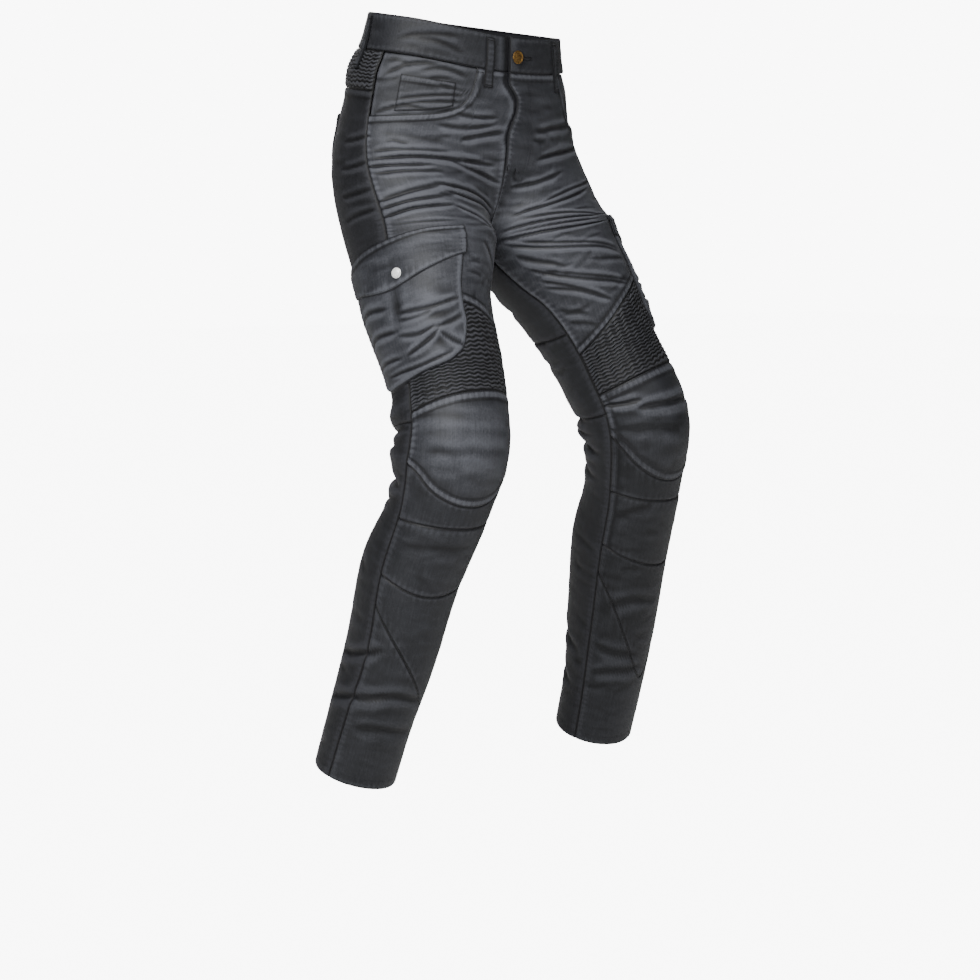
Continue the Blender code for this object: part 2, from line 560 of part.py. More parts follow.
def cargo_flap(side, u_line):
    """Flap over the mouth of the bellows pocket, held by one snap."""
    rows = even(4)[:, None]
    u_line = u_line * 1.02
    top = line(FLAP_TOP, u_line)
    foot = line(FLAP_FOOT, u_line)
    s = top + (foot - top) * rows
    u = np.broadcast_to(u_line, s.shape)
    lift = flap_lift(u, s, rows)
    at_u = u + CARGO_SHIFT[side]
    outer = cloth(side, at_u, s, lift)
    solid("cargo_flap_" + SIDE_NAME[side], outer, cloth(side, at_u, s, lift - POCKET_CLOTH))
    snap_u, snap_s = -0.165, 0.342
    height = float(flap_lift(np.array(snap_u), np.array(snap_s), np.array(0.8))) + 0.0004
    # radius, height: from the middle of the underside over the rim to the middle of the cap
    profile = ((0.0062, 0.0), (0.0066, 0.0010), (0.0052, 0.0022), (0.0025, 0.0027))
    at = (snap_u + CARGO_SHIFT[side], snap_s)
    turned("cargo_snap_" + SIDE_NAME[side], side, at, height, profile)


def flap_lift(u, s, down):
    """Height of the outer face of the flap: on the leg at its seam, over the pocket below."""
    over_pocket = cargo_lift(u, s) + LAY + POCKET_CLOTH + 0.0004
    at_seam = 2 * LAY + POCKET_CLOTH
    return at_seam + (over_pocket - at_seam) * ramp(0.0, 0.45, down)


def turned(name, side, at, height, profile):
    """Round piece turned about the direction out of the cloth."""
    place, out = skin(side, np.array(at[0]), np.array(at[1]))
    ahead, _ = skin(side, np.array(at[0] + 0.02), np.array(at[1]))
    across = unit(ahead - place - np.dot(ahead - place, out) * out)
    up = np.cross(out, across)
    steps = 12
    turns = np.arange(steps) * 2 * pi / steps
    ring = np.cos(turns)[:, None] * across + np.sin(turns)[:, None] * up
    points = [place + (height + h) * out + r * ring for r, h in profile]
    middle = np.stack([place + (height + profile[0][1]) * out, place + (height + profile[-1][1]) * out])
    points = np.concatenate(points + [middle])
    faces = []
    for k in range(len(profile) - 1):
        for j in range(steps):
            a, b = k * steps + j, k * steps + (j + 1) % steps
            faces += [(a, b, b + steps), (a, b + steps, a + steps)]
    bottom, top = len(points) - 2, len(points) - 1
    last = (len(profile) - 1) * steps
    for j in range(steps):
        faces.append((bottom, (j + 1) % steps, j))
        faces.append((top, last + j, last + (j + 1) % steps))
    add_object(name, points, faces)


def belt_loops():
    """Five belt loops, lying close over the waistband and stitched down below it."""
    # name, side, u of the middle, height of the foot above the cloth
    loops = (
        ("belt_loop_front_right", RIGHT, -0.87, 0.0004),
        ("belt_loop_front_left", LEFT, -0.59, 0.0004),
        ("belt_loop_side_right", RIGHT, 0.10, 0.0022),
        ("belt_loop_side_left", LEFT, 0.10, 0.0022),
        ("belt_loop_back", LEFT, 1.00, 0.0019),
    )
    half_width = 0.028
    length = 0.067
    thick = 0.0016
    rows = even(6)[:, None]
    for name, side, middle, foot in loops:
        u = np.broadcast_to([[middle - half_width, middle + half_width]], (7, 2))
        s = np.broadcast_to(0.005 + length * rows, (7, 2))
        stand = 0.0018 * np.sin(pi * np.clip(rows / 0.66, 0.0, 1.0))
        under = 0.0004 + (foot - 0.0004) * ramp(0.36, 0.60, rows) + stand
        lift = np.broadcast_to(under + thick, (7, 2))
        solid(name, cloth(side, u, s, lift), cloth(side, u, s, lift - thick))


def waist_button():
    """Shank button on the lapped end of the left waistband."""
    # radius, height: stem, underside of the head, rim and cap
    profile = ((0.0035, 0.0), (0.0035, 0.0016), (0.0078, 0.0020), (0.0085, 0.0030),
               (0.0060, 0.0040), (0.0025, 0.0043))
    turned("waist_button", LEFT, (-0.955, 0.026), BAND + 0.0009, profile)


for old in list(bpy.context.scene.objects):
    bpy.data.objects.remove(old)
waistbands()
belt_loops()
waist_button()
front_panels()
hip_facings()
coin_pocket()
front_column_pieces()
back_pieces()
back_pockets()
cargo_pockets()
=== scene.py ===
# %% [markdown]
# # Riding trousers in waxed denim
#
# A plain CAD model already holds the size, the pose and the cut of these trousers.
# This script dresses it: every panel of cloth is cut again with a much finer mesh,
# and gets its folds, ribs, seams, stitches and its material.
# The CAD model is loaded as a fixed frame, so nothing here has to be moved into place.

# %% Load the fixed frame
from math import pi

import bpy
import numpy as np
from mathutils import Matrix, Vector


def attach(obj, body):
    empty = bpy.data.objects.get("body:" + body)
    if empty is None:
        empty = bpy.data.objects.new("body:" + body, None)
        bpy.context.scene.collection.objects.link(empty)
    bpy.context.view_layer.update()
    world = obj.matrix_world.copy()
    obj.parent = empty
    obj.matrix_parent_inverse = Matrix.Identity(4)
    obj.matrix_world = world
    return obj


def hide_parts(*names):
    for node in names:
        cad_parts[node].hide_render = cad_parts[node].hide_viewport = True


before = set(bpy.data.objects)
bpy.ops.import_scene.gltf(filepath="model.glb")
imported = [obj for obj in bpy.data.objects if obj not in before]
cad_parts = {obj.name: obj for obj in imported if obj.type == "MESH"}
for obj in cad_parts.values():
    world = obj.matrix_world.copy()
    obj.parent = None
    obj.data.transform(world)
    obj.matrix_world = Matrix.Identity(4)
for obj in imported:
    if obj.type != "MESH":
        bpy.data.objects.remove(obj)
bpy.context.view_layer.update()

# %% [markdown]
# ## The map of the cloth
#
# A tailor finds a place on trousers by how far round the body and how far down it is.
# The same map is used here: `side` is the wearer's right or left, `u` runs from -1 at
# the centre front over 0 at the outer side to 1 at the centre back, and `s` is the
# distance down from the waist edge in metres. Every seam, fold and stitch below is
# given on this map, so a piece fits its neighbours by itself.

# %% Sides and sizes
RIGHT, LEFT = -1, 1
SIDE_NAME = {RIGHT: "right", LEFT: "left"}
BAND_HEIGHT = 0.0465    # waistband
FRONT_DIP = 0.0075      # how far the waist edge sags at the button
FLY_END = 0.155         # where the front edges stop overlapping
FORK_START = 0.130      # where the one tube begins to turn into two legs
FORK_END = 0.272        # the crotch point
HEM = 0.985
DENIM = 0.0011          # one layer of the denim
BAND = 0.0024           # the doubled waistband
PATCH = 0.0010          # a pocket layer
LAY = 0.0006            # clearance below a piece that lies on another

# %% [markdown]
# The body under the cloth is given by a few rings, as on a dress form. The place and width
# of each were matched to the photograph, and the depth, which one view doesn't show, is a
# usual one. Few rings keep the form smooth, where a scan would bring every fold with it.

# %% Rings of the hip and of the legs
# name, along, y, z, half_width, front, back, tilt, roll
HIP_RINGS = (
    ("waist_edge", 0.000, 0.000, 0.000, 0.137, 0.094, 0.100, 7.5, 4.1),
    ("waist_seam", 0.042, 0.001, -0.042, 0.143, 0.094, 0.126, 7.0, 3.8),
    ("high_hip", 0.090, 0.004, -0.090, 0.155, 0.095, 0.143, 5.5, 3.0),
    ("hip", 0.145, 0.007, -0.145, 0.168, 0.097, 0.156, 4.0, 2.0),
    ("seat", 0.200, 0.008, -0.200, 0.180, 0.100, 0.153, 2.0, 1.0),
    ("fork", 0.280, 0.006, -0.280, 0.183, 0.102, 0.142, 0.0, 0.0),
)
# name, along, out, in, front, back: reach of each leg ring from its centre
LEG_RINGS = (
    ("groin", 0.160, 0.098, 0.090, 0.105, 0.125),
    ("crotch", 0.270, 0.096, 0.094, 0.109, 0.099),
    ("thigh", 0.350, 0.080, 0.082, 0.101, 0.076),
    ("above_knee", 0.450, 0.073, 0.071, 0.080, 0.068),
    ("knee", 0.540, 0.073, 0.070, 0.072, 0.072),
    ("below_knee", 0.620, 0.064, 0.063, 0.061, 0.071),
    ("calf", 0.710, 0.062, 0.061, 0.058, 0.079),
    ("shin", 0.810, 0.057, 0.057, 0.060, 0.070),
    ("boot_top", 0.905, 0.057, 0.053, 0.057, 0.055),
    ("hem", 0.990, 0.056, 0.052, 0.054, 0.053),
)
# name, right centre, left centre: where the stride puts the middle of each leg ring
LEG_CENTRES = (
    ("groin", (-0.088, 0.006, -0.160), (0.088, 0.006, -0.160)),
    ("crotch", (-0.087, -0.015, -0.270), (0.100, -0.013, -0.265)),
    ("thigh", (-0.098, -0.040, -0.350), (0.135, -0.039, -0.340)),
    ("above_knee", (-0.096, -0.086, -0.450), (0.177, -0.065, -0.430)),
    ("knee", (-0.105, -0.115, -0.535), (0.213, -0.089, -0.519)),
    ("below_knee", (-0.117, -0.103, -0.615), (0.229, -0.072, -0.605)),
    ("calf", (-0.134, -0.071, -0.700), (0.238, -0.041, -0.693)),
    ("shin", (-0.146, -0.039, -0.800), (0.248, -0.005, -0.793)),
    ("boot_top", (-0.159, -0.009, -0.890), (0.255, 0.028, -0.887)),
    ("hem", (-0.169, 0.015, -0.970), (0.259, 0.056, -0.967)),
)
LEG_YAW = {RIGHT: 0.0, LEFT: 10.0}   # degrees that the front of a leg turns outwards
print("rings of the hip", len(HIP_RINGS), "and of each leg", len(LEG_RINGS))

# %% [markdown]
# A seam is a line on the map. Side seams are read at a distance down the leg, and seams
# across it at a part of the way from one side seam to the other. Two pieces that share a
# seam read the same table, so they meet without a gap.

# %% Seam lines
# Lines down the leg as (s, u) pairs.
OUTSEAM = ((0.0, -0.15), (0.10, -0.11), (0.20, -0.16), (0.30, -0.14), (0.40, -0.09),
           (0.50, -0.06), (0.60, -0.03), (0.70, -0.07), (0.80, -0.11), (0.99, -0.10))
INSEAM = ((0.0, -1.0), (0.272, -1.0), (0.31, -0.93), (0.35, -0.88), (0.42, -0.86),
          (0.49, -0.89), (0.56, -0.94), (0.65, -0.96), (0.80, -0.96), (0.99, -0.93))
# Seams of the front pieces as (part of the way from inseam to outseam, s) pairs.
SCOOP_START = {RIGHT: 0.328, LEFT: 0.540}   # where the scoop of the hip pocket begins
SCOOP_COLUMNS = {                           # close together where the scoop is steep
    RIGHT: (0.0, 0.11, 0.22, 0.328, 0.345, 0.39, 0.47, 0.59, 0.72, 0.86, 1.0),
    LEFT: (0.0, 0.11, 0.22, 0.38, 0.54, 0.552, 0.582, 0.66, 0.77, 0.885, 1.0),
}
RIB_TOP = ((0.0, 0.430), (0.25, 0.412), (0.50, 0.392), (0.75, 0.380), (1.0, 0.372))
KNEE_TOP = ((0.0, 0.488), (0.5, 0.492), (0.8, 0.498), (1.0, 0.506))
KNEE_FOOT = ((0.0, 0.538), (0.16, 0.570), (0.33, 0.590), (0.50, 0.598), (0.65, 0.597),
             (0.80, 0.588), (0.92, 0.573), (1.0, 0.566))
SHIN_ONE = ((0.0, 0.612), (0.3, 0.620), (0.6, 0.627), (1.0, 0.637))
SHIN_TWO = ((0.0, 0.690), (0.25, 0.703), (0.6, 0.717), (1.0, 0.709))
SHIN_POINT = {
    RIGHT: ((0.0, 0.800), (0.1, 0.822), (0.2, 0.846), (0.3, 0.862), (0.4, 0.846),
            (0.75, 0.788), (1.0, 0.745)),
    LEFT: ((0.0, 0.730), (0.15, 0.765), (0.35, 0.826), (0.5, 0.868), (0.6, 0.882),
           (0.7, 0.860), (0.85, 0.815), (1.0, 0.770)),
}
# Seams of the back pieces as (part of the way from outseam to the inner line, s) pairs.
YOKE_FOOT = ((0.0, 0.096), (0.5, 0.095), (1.0, 0.100))
BACK_THIGH_TOP = ((0.0, 0.396), (0.5, 0.392), (1.0, 0.398))
BACK_KNEE = ((0.0, 0.517), (0.3, 0.508), (0.7, 0.506), (1.0, 0.512))
# Lines of the bellows pocket and its flap on the outer thigh as (u, s) pairs, on the right leg;
# the left leg turns outwards in the stride and carries its pocket further round.
CARGO_SHIFT = {RIGHT: 0.0, LEFT: 0.14}
CARGO_FRONT_U, CARGO_BACK_U = -0.47, 0.19
FLAP_TOP = ((-0.48, 0.272), (-0.30, 0.279), (-0.14, 0.295), (0.05, 0.309), (0.20, 0.315))
FLAP_FOOT = ((-0.48, 0.324), (-0.31, 0.344), (-0.15, 0.357), (0.05, 0.350), (0.20, 0.344))
CARGO_FOOT = ((-0.48, 0.410), (-0.43, 0.436), (-0.36, 0.450), (-0.20, 0.460), (-0.01, 0.467),
              (0.12, 0.464), (0.20, 0.452))

# %% [markdown]
# ## From the map to points in space
#
# The hips are one tube and each leg is another. Both are rings joined by soft curves.
# Between the fork and the crotch one tube turns into the other.
# Subdividing a coarse mesh would round off the seams, so the points are worked out exactly
# from the rings instead, as densely as each piece needs.

# %% Curves
def ramp(low, high, value):
    """Zero below low, one above high and a soft step between."""
    t = np.clip((value - low) / (high - low), 0.0, 1.0)
    return t * t * (3.0 - 2.0 * t)


def curve(at, values, where):
    """Soft curve through the values given at the places `at`."""
    at = np.asarray(at, float)
    values = np.asarray(values, float)
    where = np.asarray(where, float)
    step = np.diff(at)
    rise = np.diff(values) / step
    slope = np.empty_like(values)
    slope[1:-1] = (rise[:-1] * step[1:] + rise[1:] * step[:-1]) / (step[:-1] + step[1:])
    slope[0] = rise[0]
    slope[-1] = rise[-1]
    i = np.clip(np.searchsorted(at, where, side="right") - 1, 0, len(step) - 1)
    h = step[i]
    t = (where - at[i]) / h
    rest = 1.0 - t
    ends = (1.0 + 2.0 * t) * rest**2 * values[i] + t**2 * (3.0 - 2.0 * t) * values[i + 1]
    return ends + h * (t * rest**2 * slope[i] - t**2 * rest * slope[i + 1])


def line(pairs, where):
    """Read a table of (place, value) pairs as a soft curve."""
    return curve([p[0] for p in pairs], [p[1] for p in pairs], where)


def unit(vectors):
    """Vectors of length one."""
    return vectors / np.maximum(np.linalg.norm(vectors, axis=-1, keepdims=True), 1e-12)


# %% [markdown]
# The hip rings tilt with the waist edge. The leg rings stand square to a bent middle line,
# which carries the stride. `body` joins the two tubes.

# %% The two tubes
def hip_point(side, u, s):
    """Place on the one tube of waist and hips."""
    along = [ring[1] for ring in HIP_RINGS]
    y, z, half, front, back, tilt, roll = (
        curve(along, [ring[k] for ring in HIP_RINGS], s) for k in range(2, 9))
    turn = u * pi / 2
    across = side * half * np.cos(turn)
    depth = np.where(np.sin(turn) < 0, front, back) * np.sin(turn)
    lean = np.radians(tilt)
    drop = across * np.tan(np.radians(roll))
    return np.stack([across, y + depth * np.cos(lean), z + depth * np.sin(lean) - drop], -1)


def sagged(u, s):
    """Distance down to a place of the hip tube with the waist edge sagging at the front."""
    return s + FRONT_DIP * ramp(0.30, 1.0, -u) * (1.0 - ramp(BAND_HEIGHT, FORK_START, s))


def leg_centre(side, s):
    """Middle of the leg at s."""
    along = [ring[1] for ring in LEG_RINGS]
    centres = [row[1] if side == RIGHT else row[2] for row in LEG_CENTRES]
    return np.stack([curve(along, [c[k] for c in centres], s) for k in range(3)], -1)


def leg_point(side, u, s):
    """Place on the tube of one leg."""
    along = [ring[1] for ring in LEG_RINGS]
    out, inner, front, back = (
        curve(along, [ring[k] for ring in LEG_RINGS], s) for k in range(2, 6))
    reach = 0.012
    down = unit(leg_centre(side, s + reach) - leg_centre(side, s - reach))
    lean = ramp(0.20, 0.34, s)[..., None]
    down = unit((1.0 - lean) * np.array([0.0, 0.0, -1.0]) + lean * down)
    yaw = np.radians(LEG_YAW[side]) * np.clip((s - 0.2) / 0.3, 0.0, 1.0)
    forward = np.stack([side * np.sin(yaw), -np.cos(yaw), 0.0 * yaw], -1)
    forward = unit(forward - (forward * down).sum(-1, keepdims=True) * down)
    outward = unit(np.cross(forward, down)) * side
    turn = u * pi
    across = np.where(np.cos(turn) > 0, out, inner) * np.cos(turn)
    depth = np.where(np.sin(turn) < 0, front, back) * np.sin(turn)
    return leg_centre(side, s) + across[..., None] * outward - depth[..., None] * forward


def body(side, u, s):
    """Smooth worn form: the hip tube turns into the leg tube through the fork."""
    t = np.clip((s - FORK_START) / (FORK_END - FORK_START), 0.0, 1.0)
    even_step = t * t * (3.0 - 2.0 * t)
    arch = 1.0 - np.sqrt(np.maximum(1.0 - t * t, 0.0))
    near = np.clip(np.abs(u), 0.0, 1.0) ** 4
    leg = (even_step * (1.0 - near) + arch * near)[..., None]
    hip = hip_point(side, u, np.minimum(sagged(u, s), HIP_RINGS[-1][1]))
    return (1.0 - leg) * hip + leg * leg_point(side, u, np.maximum(s, LEG_RINGS[0][1]))


def span(s):
    """Metres of cloth for one step of u."""
    return np.interp(s, (0.0, 0.15, 0.30, 0.45, 0.65, 0.99), (0.18, 0.24, 0.25, 0.22, 0.19, 0.17))


# %% [markdown]
# ## Swellings and folds
#
# Worn denim folds where the body bends: fans of sharp creases from the crotch, rolls
# behind the knee, soft breaks above the hem. A cloth simulation wouldn't put them where the
# photograph has them, so the main ones are listed, one row each. A crease is a narrow
# trough with a rounded ridge on each side, because the cloth has to go somewhere.
# Many faint ones between them come from a seeded random generator.

# %% Soft swellings
# name, side, u, s, reach_across, reach_down, height
SWELLINGS = (
    ("knee_pad_right", RIGHT, -0.48, 0.545, 0.055, 0.035, 0.006),
    ("knee_pad_left", LEFT, -0.58, 0.550, 0.055, 0.035, 0.006),
    ("yoke_right", RIGHT, 0.30, 0.072, 0.120, 0.020, 0.006),
    ("yoke_left", LEFT, 0.30, 0.072, 0.120, 0.020, 0.006),
    ("behind_knee_high_right", RIGHT, 0.35, 0.492, 0.070, 0.014, 0.007),
    ("behind_knee_mid_right", RIGHT, 0.35, 0.562, 0.070, 0.018, 0.008),
    ("behind_knee_high_left", LEFT, 0.45, 0.480, 0.070, 0.014, 0.004),
    ("behind_knee_mid_left", LEFT, 0.45, 0.535, 0.070, 0.018, 0.010),
    ("calf_right", RIGHT, 0.40, 0.700, 0.060, 0.050, 0.003),
    ("calf_left", LEFT, 0.40, 0.690, 0.060, 0.050, 0.003),
)

# %% [markdown]
# Each row is one crease: three places that it runs through, its depth and its width. Where
# the cloth is pinched, two rows lie side by side with a sharp ridge between them.

# %% Folds listed one by one
# name, side, u and s at the start, middle and end, depth, half_width
FOLDS = (
    ("band_high", RIGHT, -0.20, 0.031, -0.44, 0.018, -0.72, 0.010, 0.0011, 0.0030),
    ("band_low", RIGHT, -0.34, 0.027, -0.53, 0.023, -0.74, 0.033, 0.0009, 0.0030),
    ("facing_arc", RIGHT, -0.14, 0.079, -0.36, 0.058, -0.60, 0.050, 0.0016, 0.0030),
    ("facing_arc_low", RIGHT, -0.42, 0.065, -0.60, 0.055, -0.78, 0.062, 0.0014, 0.0028),
    ("coin_fold_one", RIGHT, -0.26, 0.106, -0.53, 0.094, -0.80, 0.085, 0.0015, 0.0022),
    ("coin_fold_two", RIGHT, -0.26, 0.113, -0.54, 0.101, -0.76, 0.096, 0.0015, 0.0022),
    ("coin_fold_low", RIGHT, -0.13, 0.122, -0.36, 0.111, -0.56, 0.110, 0.0016, 0.0022),
    ("hip_main", RIGHT, -0.17, 0.178, -0.41, 0.172, -0.98, 0.179, 0.0040, 0.0027),
    ("hip_second", RIGHT, -0.11, 0.188, -0.30, 0.184, -0.56, 0.181, 0.0024, 0.0020),
    ("hip_third", RIGHT, -0.17, 0.196, -0.36, 0.190, -0.60, 0.189, 0.0016, 0.0023),
    ("hip_branch", RIGHT, -0.62, 0.174, -0.79, 0.186, -1.00, 0.203, 0.0028, 0.0023),
    ("hip_high", RIGHT, -0.16, 0.168, -0.34, 0.165, -0.70, 0.163, 0.0014, 0.0027),
    ("arc_one_outer", RIGHT, -0.13, 0.233, -0.32, 0.217, -0.56, 0.203, 0.0022, 0.0030),
    ("arc_one_inner", RIGHT, -0.46, 0.203, -0.66, 0.212, -0.98, 0.238, 0.0030, 0.0027),
    ("arc_two_outer", RIGHT, -0.12, 0.244, -0.30, 0.229, -0.50, 0.221, 0.0024, 0.0025),
    ("arc_two_inner", RIGHT, -0.50, 0.213, -0.66, 0.226, -0.95, 0.246, 0.0032, 0.0025),
    ("arc_three_outer", RIGHT, -0.11, 0.259, -0.29, 0.240, -0.52, 0.233, 0.0030, 0.0025),
    ("arc_three_inner", RIGHT, -0.49, 0.234, -0.60, 0.250, -0.74, 0.276, 0.0030, 0.0025),
    ("above_flap", RIGHT, -0.11, 0.273, -0.28, 0.265, -0.47, 0.262, 0.0018, 0.0023),
    ("groin_one", RIGHT, -0.60, 0.265, -0.74, 0.275, -0.93, 0.288, 0.0022, 0.0028),
    ("groin_two", RIGHT, -0.58, 0.292, -0.70, 0.318, -0.86, 0.346, 0.0020, 0.0040),
    ("under_scoop", RIGHT, -0.58, 0.129, -0.76, 0.131, -0.95, 0.123, 0.0016, 0.0027),
    ("under_scoop_two", RIGHT, -0.68, 0.113, -0.84, 0.116, -0.96, 0.113, 0.0018, 0.0023),
    ("beside_fly", RIGHT, -0.72, 0.147, -0.89, 0.137, -1.02, 0.131, 0.0020, 0.0028),
    ("hip_soft", RIGHT, -0.20, 0.144, -0.45, 0.147, -0.72, 0.152, 0.0010, 0.0050),
    ("side_one", RIGHT, 0.10, 0.158, -0.06, 0.153, -0.19, 0.148, 0.0014, 0.0025),
    ("side_two", RIGHT, 0.08, 0.190, -0.06, 0.186, -0.18, 0.179, 0.0018, 0.0023),
    ("side_three", RIGHT, 0.08, 0.224, -0.07, 0.218, -0.18, 0.210, 0.0014, 0.0025),
    ("side_four", RIGHT, 0.08, 0.256, -0.05, 0.245, -0.16, 0.238, 0.0014, 0.0025),
    ("fly_high", LEFT, -0.83, 0.131, -0.68, 0.124, -0.40, 0.117, 0.0018, 0.0034),
    ("fly_low", LEFT, -0.82, 0.170, -0.66, 0.160, -0.27, 0.147, 0.0026, 0.0034),
    ("thigh_top", LEFT, -0.94, 0.208, -0.76, 0.202, -0.55, 0.182, 0.0018, 0.0030),
    ("thigh_one_high", LEFT, -0.74, 0.238, -0.56, 0.215, -0.24, 0.196, 0.0016, 0.0018),
    ("thigh_one", LEFT, -0.88, 0.250, -0.67, 0.235, -0.34, 0.206, 0.0024, 0.0020),
    ("thigh_two_high", LEFT, -0.80, 0.254, -0.58, 0.249, -0.28, 0.266, 0.0022, 0.0018),
    ("thigh_two", LEFT, -0.93, 0.266, -0.65, 0.259, -0.24, 0.265, 0.0030, 0.0020),
    ("thigh_three_high", LEFT, -0.90, 0.270, -0.65, 0.267, -0.36, 0.276, 0.0022, 0.0018),
    ("thigh_three", LEFT, -0.93, 0.274, -0.67, 0.276, -0.32, 0.293, 0.0030, 0.0020),
    ("thigh_four_high", LEFT, -0.90, 0.270, -0.66, 0.296, -0.30, 0.349, 0.0024, 0.0018),
    ("thigh_four", LEFT, -0.92, 0.274, -0.67, 0.301, -0.32, 0.350, 0.0028, 0.0020),
    ("thigh_five", LEFT, -0.87, 0.290, -0.76, 0.309, -0.68, 0.324, 0.0018, 0.0026),
    ("thigh_five_faint", LEFT, -0.60, 0.329, -0.49, 0.341, -0.31, 0.354, 0.0008, 0.0020),
    ("thigh_six_high", LEFT, -0.82, 0.307, -0.67, 0.338, -0.40, 0.378, 0.0022, 0.0018),
    ("thigh_six", LEFT, -0.86, 0.302, -0.70, 0.338, -0.40, 0.383, 0.0028, 0.0020),
    ("thigh_seven_high", LEFT, -0.84, 0.320, -0.74, 0.343, -0.55, 0.389, 0.0016, 0.0018),
    ("thigh_seven", LEFT, -0.84, 0.331, -0.71, 0.355, -0.56, 0.388, 0.0018, 0.0020),
    ("thigh_eight", LEFT, -0.84, 0.365, -0.78, 0.375, -0.70, 0.388, 0.0010, 0.0030),
    ("thigh_nine", LEFT, -0.83, 0.384, -0.75, 0.395, -0.69, 0.405, 0.0008, 0.0030),
    ("knee_soft_one", RIGHT, -0.08, 0.532, -0.33, 0.530, -0.70, 0.530, 0.0006, 0.0060),
    ("knee_soft_two", RIGHT, -0.08, 0.552, -0.33, 0.546, -0.70, 0.543, 0.0008, 0.0060),
    ("knee_side", RIGHT, -0.06, 0.512, -0.20, 0.514, -0.40, 0.519, 0.0007, 0.0050),
    ("knee_step", LEFT, -0.92, 0.500, -0.76, 0.509, -0.66, 0.512, 0.0030, 0.0024),
    ("knee_step_outer", LEFT, -0.76, 0.516, -0.56, 0.523, -0.20, 0.532, 0.0032, 0.0024),
    ("knee_crease", LEFT, -0.90, 0.532, -0.71, 0.537, -0.35, 0.548, 0.0005, 0.0046),
    ("below_pad", LEFT, -0.94, 0.648, -0.80, 0.634, -0.60, 0.622, 0.0010, 0.0060),
    ("shin_soft", RIGHT, -0.12, 0.664, -0.33, 0.653, -0.70, 0.642, 0.0010, 0.0060),
    ("shin_crease", LEFT, -0.88, 0.773, -0.69, 0.760, -0.42, 0.768, 0.0018, 0.0050),
    ("shin_low", LEFT, -0.94, 0.832, -0.80, 0.838, -0.52, 0.845, 0.0024, 0.0046),
    ("shin_lowest", LEFT, -0.92, 0.875, -0.76, 0.868, -0.46, 0.862, 0.0026, 0.0046),
    ("calf_crease", RIGHT, 0.22, 0.833, -0.05, 0.812, -0.25, 0.792, 0.0028, 0.0044),
    ("calf_crease_low", RIGHT, 0.17, 0.890, -0.12, 0.868, -0.41, 0.850, 0.0030, 0.0050),
    ("shin_fold", RIGHT, -0.20, 0.862, -0.37, 0.850, -0.72, 0.856, 0.0026, 0.0046),
    ("shin_hem", RIGHT, -0.16, 0.905, -0.40, 0.898, -0.74, 0.903, 0.0022, 0.0060),
    ("behind_knee_top_right", RIGHT, 0.00, 0.523, 0.40, 0.517, 0.85, 0.524, 0.0050, 0.0050),
    ("behind_knee_mid_right", RIGHT, 0.10, 0.548, 0.42, 0.541, 0.80, 0.550, 0.0030, 0.0040),
    ("behind_knee_low_right", RIGHT, -0.02, 0.600, 0.40, 0.595, 0.92, 0.603, 0.0066, 0.0060),
    ("behind_knee_last_right", RIGHT, 0.05, 0.632, 0.42, 0.626, 0.85, 0.636, 0.0028, 0.0046),
    ("behind_knee_top_left", LEFT, 0.15, 0.505, 0.50, 0.502, 0.98, 0.514, 0.0050, 0.0050),
    ("behind_knee_mid_left", LEFT, 0.20, 0.532, 0.52, 0.526, 0.96, 0.536, 0.0030, 0.0040),
    ("behind_knee_low_left", LEFT, 0.10, 0.570, 0.50, 0.563, 1.00, 0.566, 0.0064, 0.0060),
    ("behind_knee_last_left", LEFT, 0.12, 0.604, 0.50, 0.597, 0.96, 0.604, 0.0030, 0.0046),
    ("under_seat_right", RIGHT, 0.22, 0.318, 0.60, 0.308, 0.94, 0.300, 0.0040, 0.0050),
    ("under_seat_left", LEFT, 0.22, 0.316, 0.60, 0.308, 0.94, 0.301, 0.0040, 0.0050),
    ("seat_fan_one_right", RIGHT, 0.55, 0.283, 0.76, 0.274, 0.97, 0.262, 0.0026, 0.0044),
    ("seat_fan_one_left", LEFT, 0.52, 0.285, 0.75, 0.277, 0.97, 0.264, 0.0026, 0.0044),
    ("seat_fan_two_right", RIGHT, 0.40, 0.336, 0.68, 0.322, 0.96, 0.297, 0.0026, 0.0044),
    ("seat_fan_two_left", LEFT, 0.42, 0.338, 0.70, 0.324, 0.96, 0.299, 0.0026, 0.0044),
    ("back_thigh_right", RIGHT, 0.15, 0.362, 0.50, 0.352, 0.92, 0.345, 0.0028, 0.0050),
    ("back_thigh_left", LEFT, 0.15, 0.358, 0.50, 0.350, 0.92, 0.342, 0.0028, 0.0050),
    ("back_thigh_low_right", RIGHT, 0.22, 0.442, 0.52, 0.432, 0.90, 0.436, 0.0022, 0.0050),
    ("back_thigh_low_left", LEFT, 0.24, 0.436, 0.55, 0.428, 0.94, 0.432, 0.0022, 0.0050),
    ("inner_thigh_left", LEFT, 0.76, 0.388, 0.92, 0.394, 1.10, 0.404, 0.0020, 0.0040),
    ("calf_back_right", RIGHT, 0.25, 0.846, 0.55, 0.840, 0.95, 0.850, 0.0030, 0.0055),
    ("calf_back_left", LEFT, 0.25, 0.850, 0.55, 0.842, 0.95, 0.854, 0.0030, 0.0055),
    ("calf_low_right", RIGHT, 0.30, 0.902, 0.60, 0.894, 0.96, 0.905, 0.0028, 0.0055),
    ("calf_low_left", LEFT, 0.26, 0.906, 0.58, 0.896, 0.96, 0.908, 0.0028, 0.0055),
)


# %% [markdown]
# Between its large folds worn denim is full of faint ones. They are thrown at random in
# zones, always from the same seed, so that every run gives the same cloth.

